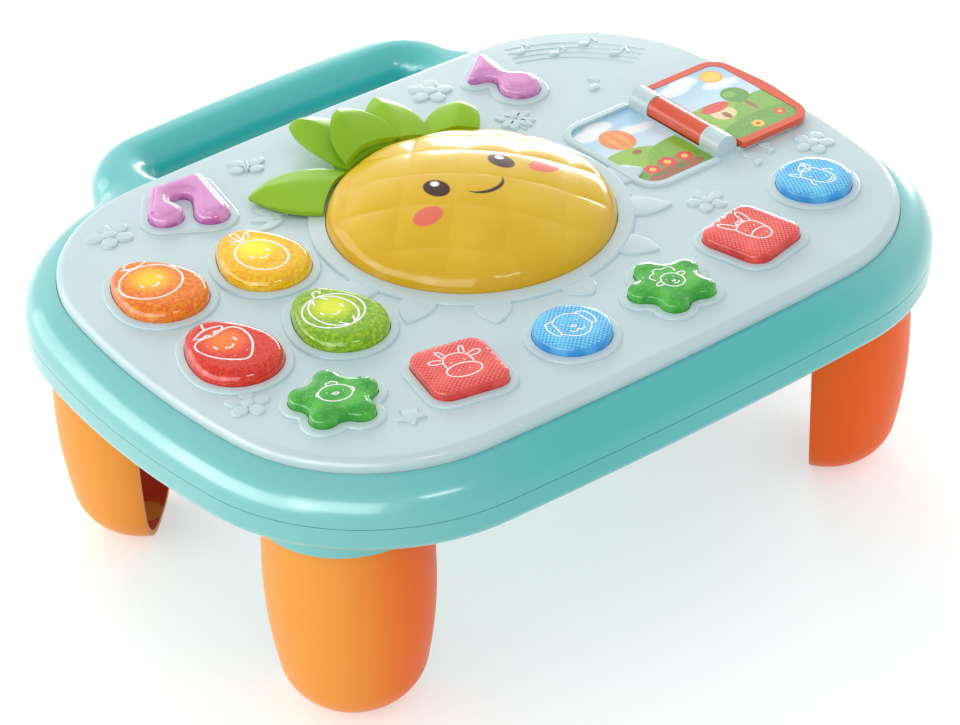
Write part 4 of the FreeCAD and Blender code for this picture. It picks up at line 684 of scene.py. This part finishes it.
smile = [dot(-4.5, 0, 1.4), dot(4.5, 0, 1.4), bend(0, -1.6, 2.0, 1.8, 200, 340, 7)]
seeds = [dot(px, py, 0.35) for px, py in ((-8, 4), (-5, 8), (0, 9), (6, 7), (9, 2), (8, -5), (3, -9), (-4, -8),
                                          (-8, -4))]
drawings = {
    "button_orange": [loop(0, 0, 12.5, 11.5), bend(4, 14, 5, 2.4, 180, 0), bend(4, 14, 5, 2.4, 180, 360),
                      path((0, 11), (-1, 13), (-2.5, 14.5))] + smile + seeds,
    "button_yellow": [loop(0, -4, 9.5, 11.5), path((0, 8), (-3, 12), (-7, 14), (-3.5, 9)),
                      path((0, 8), (-1.5, 13), (0, 17), (2, 13), (0, 8)), path((0, 8), (3, 12), (7, 14), (3.5, 9)),
                      dot(-5, 2, 0.35), dot(5, 2, 0.35), dot(0, 4, 0.35), dot(-5.5, -8, 0.35), dot(5.5, -8, 0.35),
                      dot(0, -12, 0.35), dot(-4, -3, 1.4), dot(4, -3, 1.4), bend(0, -4.6, 1.8, 1.6, 200, 340, 7)],
    "button_red": [path((0, 7), (7, 9), (11, 4), (9, -5), (3, -12), (0, -13.5), (-3, -12), (-9, -5), (-11, 4),
                        (-7, 9), (0, 7)),
                   path((-7, 10), (-4, 7.5), (-2, 9.5), (0, 6), (2, 9.5), (4, 7.5), (7, 10), (2, 12), (0, 12),
                        (-2, 12), (-7, 10)), path((0, 12), (0, 14), (1.5, 16)),
                   dot(-6, 3, 0.35), dot(6, 3, 0.35), dot(-6, -4, 0.35), dot(6, -4, 0.35), dot(-2.5, -9, 0.35),
                   dot(3, -9, 0.35)] + smile,
    "button_lime": [loop(0, -1, 12, 11.5), bend(0, -1, 4, 11.5, 100, 140, 5), bend(0, -1, 4, 11.5, 220, 260, 5),
                    bend(0, -1, 4, 11.5, 40, 80, 5), bend(0, -1, 4, 11.5, 280, 320, 5),
                    bend(0, -1, 8.5, 11, 100, 260), bend(0, -1, 8.5, 11, 80, -80),
                    path((0, 10.5), (0.5, 13), (3, 14), (4.5, 12.5), (3, 11.5))] + smile,
    "button_chick": [loop(0, -0.5, 7.6, 6.2), path((-2.4, 5.6), (-2.6, 8), (-0.6, 7.4), (0.4, 9), (1.4, 7.4), (3, 7.6),
                                                   (2.2, 5.6)), dot(-3.6, 0.6, 0.55), dot(3.6, 0.6, 0.55),
                     path((-1.8, -0.8), (0, 0.3), (1.8, -0.8), (0, -2.2), (-1.8, -0.8)),
                     path((-6.9, 2), (-9.6, 0.5), (-7.4, -2)), path((6.9, 2), (9.6, 0.5), (7.4, -2))],
    "button_cow": [loop(0, -4.6, 7.2, 4.4), path((-5.6, -2), (-6, 3), (-3.5, 6.4), (0, 7), (3.5, 6.4), (6, 3),
                                                 (5.6, -2))] + mirror(
        [dot(2.7, 1.4, 0.6), dot(2.2, -4.6, 0.55), path((5.6, 4.6), (9, 6.4), (11.4, 4.4), (8.6, 2.4), (6, 2.8)),
         path((3, 6.8), (3.8, 10.2), (6, 10.6), (5.4, 8.4), (4.8, 5.8))]),
    "button_dog": [path((-6.4, 4.4), (-3.5, 7.4), (0, 8), (3.5, 7.4), (6.4, 4.4)),
                   path((-6.8, -3.4), (-4, -7.4), (0, -8.4), (4, -7.4), (6.8, -3.4)),
                   path((-1.6, -0.6), (1.6, -0.6), (0, -2.6), (-1.6, -0.6)), bend(-1.6, -3.2, 1.6, 1.6, 180, 350, 6),
                   bend(1.6, -3.2, 1.6, 1.6, 190, 360, 6)] + mirror(
        [dot(3.2, 2, 0.6), path((5, 6), (8.4, 6.6), (10.2, 2), (9.4, -3.4), (7.2, -4.2), (6.6, 0), (6.2, 3.8))]),
    "button_sheep": [loop(0, -1.6, 5.2, 5.8), path(*[(px, py + 5) for px, py in (
        (-6, -2), (-7.4, 1), (-5, 3), (-2.6, 2.2), (-2, 4.8), (1, 5), (2.4, 2.6), (5, 3.4), (7.4, 1), (6, -2))]),
        path((-1, -2.2), (1, -2.2), (0, -3.4), (-1, -2.2)), bend(0, -3.6, 1.6, 1.2, 200, 340, 6)] + mirror(
        [dot(2.2, 0.2, 0.5), path((5, 1.2), (8.6, 1), (8.2, -1.8), (5.2, -1.6))]),
    "button_donkey": [path((-5, 4), (-5.6, 0), (-4.6, -6), (-2, -9), (2, -9), (4.6, -6), (5.6, 0), (5, 4), (2, 5.6),
                           (-2, 5.6), (-5, 4)), bend(0, -4.4, 4.8, 2.6, 20, 160, 7),
                      path((-1.6, 5.6), (-0.8, 8), (0.4, 6.6), (1.6, 8), (1.8, 5.6))] + mirror(
        [dot(2.8, 0.8, 0.6), dot(1.6, -6, 0.45), path((2.6, 5.8), (4, 10.8), (6.4, 13), (7.2, 9), (5, 4.2))]),
    "button_horse": [path((-4.4, 4), (-4.8, 0), (-4.2, -6), (-2, -9), (2, -9), (4.2, -6), (4.8, 0), (4.4, 4),
                          (0, 6.4), (-4.4, 4)), path((-1, 6.4), (2.4, 9), (5.4, 7), (2.6, 5.6), (3, 2.6), (0.2, 4.2),
                                                     (-1, 6.4)), bend(0, -6.4, 2.2, 1.2, 200, 340, 6)] + mirror(
        [dot(2.4, 0.6, 0.55), dot(1.6, -4.6, 0.4), path((3.2, 5.4), (4.2, 9.2), (6.2, 8.2), (5, 4)),
         path((4.8, -1), (7.6, -2), (7, -5))]),
}
# the fruit drawings lie a little towards the front left of their rounded buttons
left, forward = 1.2, 2.0
for name, (x, y, turn, colour, shade, glow) in fruits.items():
    button = shape_of(name, glitter(name + "_plastic", x, y, turn, colour, shade, glow))
    printed(name + "_print", button, x - left, y - forward, turn, drawings[name], 0.95, 1.2)
for name, (x, y, turn, colour, shade) in animals.items():
    pitch = 0 if name in ("button_chick", "button_sheep") else 2.4
    button = shape_of(name, pyramids(name, x, y, turn, colour, shade, pitch))
    crowned(button, 5, 0.5 if pitch else 0.9)
    printed(name + "_print", button, x, y, turn, drawings[name], 0.75, 1.15 if pitch else 1.0)

# Music buttons.
# A beamed note and a bow in clear purple plastic, with painted light: paler pink higher up and deeper purple at their
# feet.

purple = Finish("clear_purple_plastic", Coat_Weight=1.0, Coat_Roughness=0.02, Coat_IOR=1.4, IOR=1.4,
                Subsurface_Weight=0.25, Subsurface_Radius=(0.6, 0.3, 0.6), Subsurface_Scale=0.004)
spot = purple.spot(0, 0, 142)
swirl = purple.cloud(spot, 7, 2)
# painted light: the colour is painted paler the higher the plastic stands above the panel
tone = purple.step(swirl + (purple.split(spot)[2] - 8) * 0.05, 0.35, 0.62)
purple.lay(Base_Color=purple.tint(tone, linear(196, 88, 178), linear(228, 152, 212)), Roughness=swirl * 0.1 + 0.06,
           Normal=purple.dent(purple.cloud(spot, 6, 1), 0.6, 0.5))
for name in ("button_note", "button_bow"):
    crowned(shape_of(name, purple), 4, 1.4)

# Dome.
# The large middle button is a thin shell of clear yellow plastic, quilted like a pineapple by
# crossing creases, with a plain friendly face printed on it. It is pressed with the palm.

dome_at, dome_radius, dome_rise, side_round = 8, 68, 24, 14
side_in = dome_radius - side_round
crown = (side_in ** 2 + dome_rise ** 2 - side_round ** 2) / (2 * (dome_rise - side_round))
lean = math.atan2(crown - dome_rise, side_in)


def dome_height(out):
    """Height of the plain dome above the panel at a distance from its middle."""
    if out < side_in + side_round * math.cos(lean):
        return dome_rise - crown + math.sqrt(crown ** 2 - out ** 2)
    return math.sqrt(max(0.0, side_round ** 2 - (out - side_in) ** 2))


bpy.ops.object.select_all(action="DESELECT")
bpy.ops.mesh.primitive_circle_add(vertices=240, radius=dome_radius / 1000, fill_type="NOTHING",
                                  location=(middle.x, middle.y + dome_at / 1000, panel_top))
dome = bpy.context.object
bpy.ops.object.transform_apply(location=True, rotation=True, scale=True)
bpy.ops.object.mode_set(mode="EDIT")
bpy.ops.mesh.select_all(action="SELECT")
rings = [side_in + side_round * math.cos(math.radians(angle)) for angle in range(6, 70, 4)]
rings = [out for out in rings if out > side_in + side_round * math.cos(lean)]
last = rings[-1]
rings += [last * (1 - number / 56) for number in range(1, 55)]
out = dome_radius
for following in rings:
    bpy.ops.mesh.extrude_edges_move()
    share = following / out
    bpy.ops.transform.resize(value=(share, share, 1), center_override=(middle.x, middle.y + dome_at / 1000, panel_top))
    out = following
bpy.ops.mesh.edge_face_add()
bpy.ops.object.mode_set(mode="OBJECT")
pitch, crease, flat_edge, face_reach = 35.0, 1.5, 8, 50
for vertex in dome.data.vertices:
    px, py = (vertex.co.x - middle.x) * 1000, (vertex.co.y - middle.y) * 1000 - dome_at
    out = math.hypot(px, py)
    if out > dome_radius - 0.01:
        continue
    height = dome_height(out)
    stretch = 1 + 0.10 * (out / dome_radius) ** 2
    first = abs(math.sin(math.pi * (px * 1.06 + py) / stretch / pitch))
    second = abs(math.sin(math.pi * (px * 1.06 - py + 8) / stretch / pitch))
    quilt = (first * second) ** 0.45
    # the creases die out at the edge, and are shallow under the face
    fade = min(1.0, (dome_radius - out) / flat_edge) * (0.3 + 0.7 * min(1.0, (out / face_reach) ** 3))
    vertex.co.z = panel_top + (height - crease * fade * (1 - quilt)) / 1000
bpy.ops.object.mode_set(mode="EDIT")
bpy.ops.mesh.select_all(action="DESELECT")
bpy.ops.mesh.select_non_manifold(use_wire=False, use_multi_face=False, use_non_contiguous=False, use_verts=False)
bpy.ops.mesh.extrude_edges_move(TRANSFORM_OT_translate={"value": (0, 0, -0.0028)})
bpy.ops.mesh.extrude_edges_move()
share = (dome_radius + 2) / dome_radius
bpy.ops.transform.resize(value=(share, share, 1), center_override=(middle.x, middle.y + dome_at / 1000, panel_top))
bpy.ops.mesh.select_all(action="SELECT")
bpy.ops.mesh.normals_make_consistent(inside=False)
bpy.ops.object.mode_set(mode="OBJECT")
wall = dome.modifiers.new("wall", "SOLIDIFY")
wall.thickness = 0.0015
wall.offset = -1
bpy.ops.object.modifier_apply(modifier="wall")

honey = clear_plastic("clear_yellow_plastic", 0.55)
spot = honey.spot(0, dome_at + middle_y, 147.5)
px, py, pz = honey.split(spot)
slow = honey.cloud(spot, 45, 2)
base = honey.tint(honey.step(slow, 0.35, 0.65), linear(228, 184, 28), linear(234, 194, 46))
base = honey.tint(honey.step(pz, 14, 2) * 0.5, base, linear(224, 166, 22))
face = base
dark_brown = linear(66, 38, 28)
for side in (-1, 1):
    face = honey.tint(honey.oval(px, py, (side * 34, -12), (7.5, 6.0)), face, linear(240, 116, 96))
    face = honey.tint(honey.oval(px, py, (side * 19, 1), (5.5, 7.5)), face, dark_brown)
    face = honey.tint(honey.oval(px, py, (side * 19 + 1.4, 4.2), (1.9, 2.3)), face, linear(255, 255, 252))
mouth = honey.oval(px, py, (0, -10), (10, 8.5)) * (1 - honey.oval(px, py, (0, -8.2), (10.4, 8.0)))
face = honey.tint(mouth, face, dark_brown)
honey.lay(Base_Color=face, Roughness=slow * 0.08 + 0.25)
made = joined("pineapple_dome_shell", [dome], honey, "pineapple_dome", 60)
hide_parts("pineapple_dome")

# Leaf crown.
# Six broad leaves in one green moulding behind the dome. Each has a fold along its middle, and
# they lie over one another and lift towards their tips.

green = moulded("green_leaf_plastic", (150, 198, 36), (136, 188, 26), 0.30, 0.08, Specular_IOR_Level=0.25)
leaf_circle = 58
# root, swing about the upright, length, half width, tilt, bluntness of the tip, fold, lift of the root
leaves = ((-30, 57, 51, 18.5, 1, 0.9, 0.30, 0.6), (-14, 38, 58, 15.5, 6, 0.6, -0.20, 0.9),
          (-6, 19, 56, 14.5, 10, 0.5, 0.25, 0.3), (-7, 2, 39, 17.5, 27, 0.7, -0.35, 1.2),
          (8, -16, 48, 15.5, 12, 0.9, 0.05, 0.5), (25, -50, 37, 14, 10, 0.5, 0.15, 0.8))
blades = []
for root_x, swing, reach, half, tilt, tip, fold_at, lift in leaves:
    bpy.ops.object.select_all(action="DESELECT")
    bpy.ops.mesh.primitive_grid_add(x_subdivisions=16, y_subdivisions=24, size=1)
    blade = bpy.context.object
    for vertex in blade.data.vertices:
        across, along = vertex.co.x * 2, vertex.co.y + 0.5
        if along < 0.35:
            width = half * (0.78 + 0.22 * math.sin(math.pi / 2 * along / 0.35))
        else:
            width = half * max(0.0, 1 - ((along - 0.35) / 0.65) ** 2) ** tip
        # the two sides of the fold fall away from it, and the blade arches along its length
        fall = abs(across - fold_at) / (1 + abs(fold_at))
        vertex.co = (across * width, along * reach,
                     3.4 * (1 - fall ** 1.15) * min(1, width / 9) + 1.5 * math.sin(math.pi * along) - 0.6)
    blade.data.transform(Matrix.Scale(0.001, 4))
    fold = blade.modifiers.new("thickness", "SOLIDIFY")
    fold.thickness = 0.0024
    fold.offset = -1
    rounding = blade.modifiers.new("rounding", "BEVEL")
    rounding.width = 0.0008
    rounding.segments = 3
    rounding.angle_limit = math.radians(50)
    bpy.ops.object.modifier_apply(modifier="thickness")
    bpy.ops.object.modifier_apply(modifier="rounding")
    root_y = dome_at + math.sqrt(leaf_circle ** 2 - root_x ** 2)
    root = Vector((root_x / 1000 + middle.x, root_y / 1000 + middle.y, panel_top + (2.6 + lift) / 1000))
    blade.data.transform(Matrix.Translation(root) @ Matrix.Rotation(math.radians(swing), 4, "Z")
                         @ Matrix.Rotation(math.radians(tilt), 4, "X"))
    blades.append(blade)
# a plate ties the blades together at their roots, behind the dome
bpy.ops.object.select_all(action="DESELECT")
bpy.ops.mesh.primitive_cylinder_add(vertices=64, radius=0.030, depth=0.003,
                                    location=(middle.x, middle.y + (dome_at + leaf_circle) / 1000, panel_top + 0.0022))
blades.append(bpy.context.object)
# what would reach into the dome is cut away on its circle
bpy.ops.object.select_all(action="DESELECT")
bpy.ops.mesh.primitive_cylinder_add(vertices=180, radius=(dome_radius + 0.8) / 1000, depth=0.2,
                                    location=(middle.x, middle.y + dome_at / 1000, panel_top))
dome_space = bpy.context.object
for blade in blades:
    bpy.context.view_layer.objects.active = blade
    clear = blade.modifiers.new("dome_space", "BOOLEAN")
    clear.operation = "DIFFERENCE"
    clear.object = dome_space
    bpy.ops.object.modifier_apply(modifier="dome_space")
bpy.data.objects.remove(dome_space)
made = joined("leaf_crown", blades, green, "casing", 22)
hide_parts("pineapple_leaves")

# Book.
# A coral page turns on a steel pin between two arched blocks. Printed cards lie in its two
# faces and in the panel on both sides: plain country scenes.

coral = moulded("coral_book_plastic", (234, 94, 58), (224, 82, 50), 0.25, 0.2)
shape_of("book_page", coral)
book_y = 6


def scene_card(name, node, x, flipped, extras):
    """A printed card: sky with clouds, hills, a flower bed, and things of its own."""
    card = Finish(name, Coat_Weight=0.7, Coat_Roughness=0.08, Roughness=0.35)
    spot = card.spot(x, book_y + middle_y)
    px, py, pz = card.split(spot)
    if flipped:
        px = px * -1
    print_ = card.tint(card.step(py, -5, 30), linear(214, 238, 248), linear(166, 214, 240))
    for at, reach in (((-12, 24), (9, 5)), ((-4, 27), (8, 5)), ((12, 14), (8, 3.5)), ((6, 16), (6, 3.5))):
        print_ = card.tint(card.oval(px, py, at, reach, 0, 1.2) * 0.9, print_, linear(250, 252, 253))
    for at, reach, colour in (((-12, -16), (24, 19), (150, 200, 56)), ((16, -20), (24, 18), (126, 186, 44)),
                              ((2, -34), (34, 17), (104, 168, 40))):
        print_ = card.tint(card.oval(px, py, at, reach), print_, linear(*colour))
    speckle = card.step(card.cloud(spot, 1.6, 2), 0.58, 0.66) * card.step(py, -2, -8)
    print_ = card.tint(speckle * 0.35, print_, linear(176, 214, 90))
    for at, reach, colour in extras:
        print_ = card.tint(card.oval(px, py, at, reach, 0, 0.25), print_, linear(*colour))
    card.lay(Base_Color=print_, Roughness=card.cloud(spot, 3) * 0.1 + 0.25)
    dress(card, node)


def daisy(x, y, reach, petals, heart):
    spots = []
    for number in range(6):
        angle = math.radians(60 * number + 15)
        spots.append(((x + reach * 0.6 * math.cos(angle), y + reach * 0.6 * math.sin(angle)),
                      (reach * 0.5, reach * 0.5), petals))
    return spots + [((x, y), (reach * 0.42, reach * 0.42), heart)]


red, gold, brown, leaf = (232, 64, 56), (252, 208, 60), (166, 98, 56), (70, 140, 50)
balloon = [((-4, 12), (8.5, 10), (244, 138, 44)), ((-4, 12), (4.6, 10), (250, 164, 70)),
           ((-4, 12), (1.6, 10), (244, 138, 44)), ((-4, -2.6), (2.6, 2.0), brown)]
sun = [((11, 23), (6, 6), (248, 176, 44)), ((11, 23), (4.6, 4.6), (254, 214, 70))]
bed = [((0, -27), (17, 4.5), brown), ((-9, -25), (3.2, 1.2), leaf), ((4, -26), (3.2, 1.2), leaf)]
tree = [((8, -8), (1.2, 8), brown), ((8, 2), (7, 7.5), (92, 160, 52)), ((6, 4), (3.4, 3), (128, 190, 70))]
house = [((-8, -8), (6.5, 6.0), (250, 226, 168)), ((-8, -1.4), (8.4, 4.0), red), ((-8, -10.5), (1.8, 3.4), brown)]
scene_card("left_card_print", "picture_left", 101.3, False,
           balloon + bed + daisy(-9, -20, 4, red, gold) + daisy(1, -19, 4.4, red, gold) + daisy(11, -20, 4, red, gold))
scene_card("page_card_print", "page_picture_front", 156, False, sun + tree + house
           + daisy(14, -24, 3, red, gold) + daisy(-2, -26, 3, gold, red))
scene_card("page_back_print", "page_picture_back", 156, True, sun + bed + daisy(-6, -18, 4, gold, red)
           + daisy(6, -18, 4, red, gold))
scene_card("right_card_print", "picture_right", 156, False, tree + bed + daisy(-9, -20, 4, gold, red)
           + daisy(2, -20, 4, red, gold))

# Hardware and electronics.
# Steel screws and pin, a green board with its rubber pads and lamps, the cells with their
# contacts, the switch and the speaker. They sit inside or under the tray.

steel = Finish("zinc_steel", Metallic=1.0)
spot = steel.spot()
grain = steel.cloud(spot, 0.8, 3)
steel.lay(Base_Color=steel.tint(grain, linear(176, 178, 182), linear(204, 205, 208)), Roughness=grain * 0.25 + 0.25,
          Normal=steel.dent(grain, 0.01, 0.3))
dress(steel, "hinge_pin", "board_screws", "case_screws", "door_screw", "battery_contacts")
laminate = Finish("green_laminate", Coat_Weight=0.4)
spot = laminate.spot()
px = laminate.split(spot)[0]
traces = laminate.step(abs((px * 1.1).sine()), 0.86, 0.94)
laminate.lay(Base_Color=laminate.tint(traces * 0.5, linear(26, 92, 52), linear(74, 140, 84)),
             Roughness=laminate.cloud(spot, 4) * 0.2 + 0.3)
dress(laminate, "main_board")
dress(moulded("grey_rubber_pads", (150, 152, 154), (138, 140, 143), 0.6, 0.0), "key_pads")
dress(moulded("clear_lamp_epoxy", (250, 246, 226), (240, 232, 200), 0.15, 0.8), "lamps")
dress(moulded("dark_cell_jacket", (52, 54, 58), (44, 46, 50), 0.3, 0.3), "battery_cells")
dress(moulded("black_nylon", (32, 32, 34), (24, 24, 26), 0.45, 0.1), "switch_body", "switch_knob")
dress(moulded("speaker_paint", (70, 70, 74), (58, 58, 62), 0.4, 0.1), "speaker_basket")
dress(moulded("speaker_paper", (40, 40, 42), (30, 30, 32), 0.8, 0.0), "speaker_cone")
shape_of("battery_door", teal)
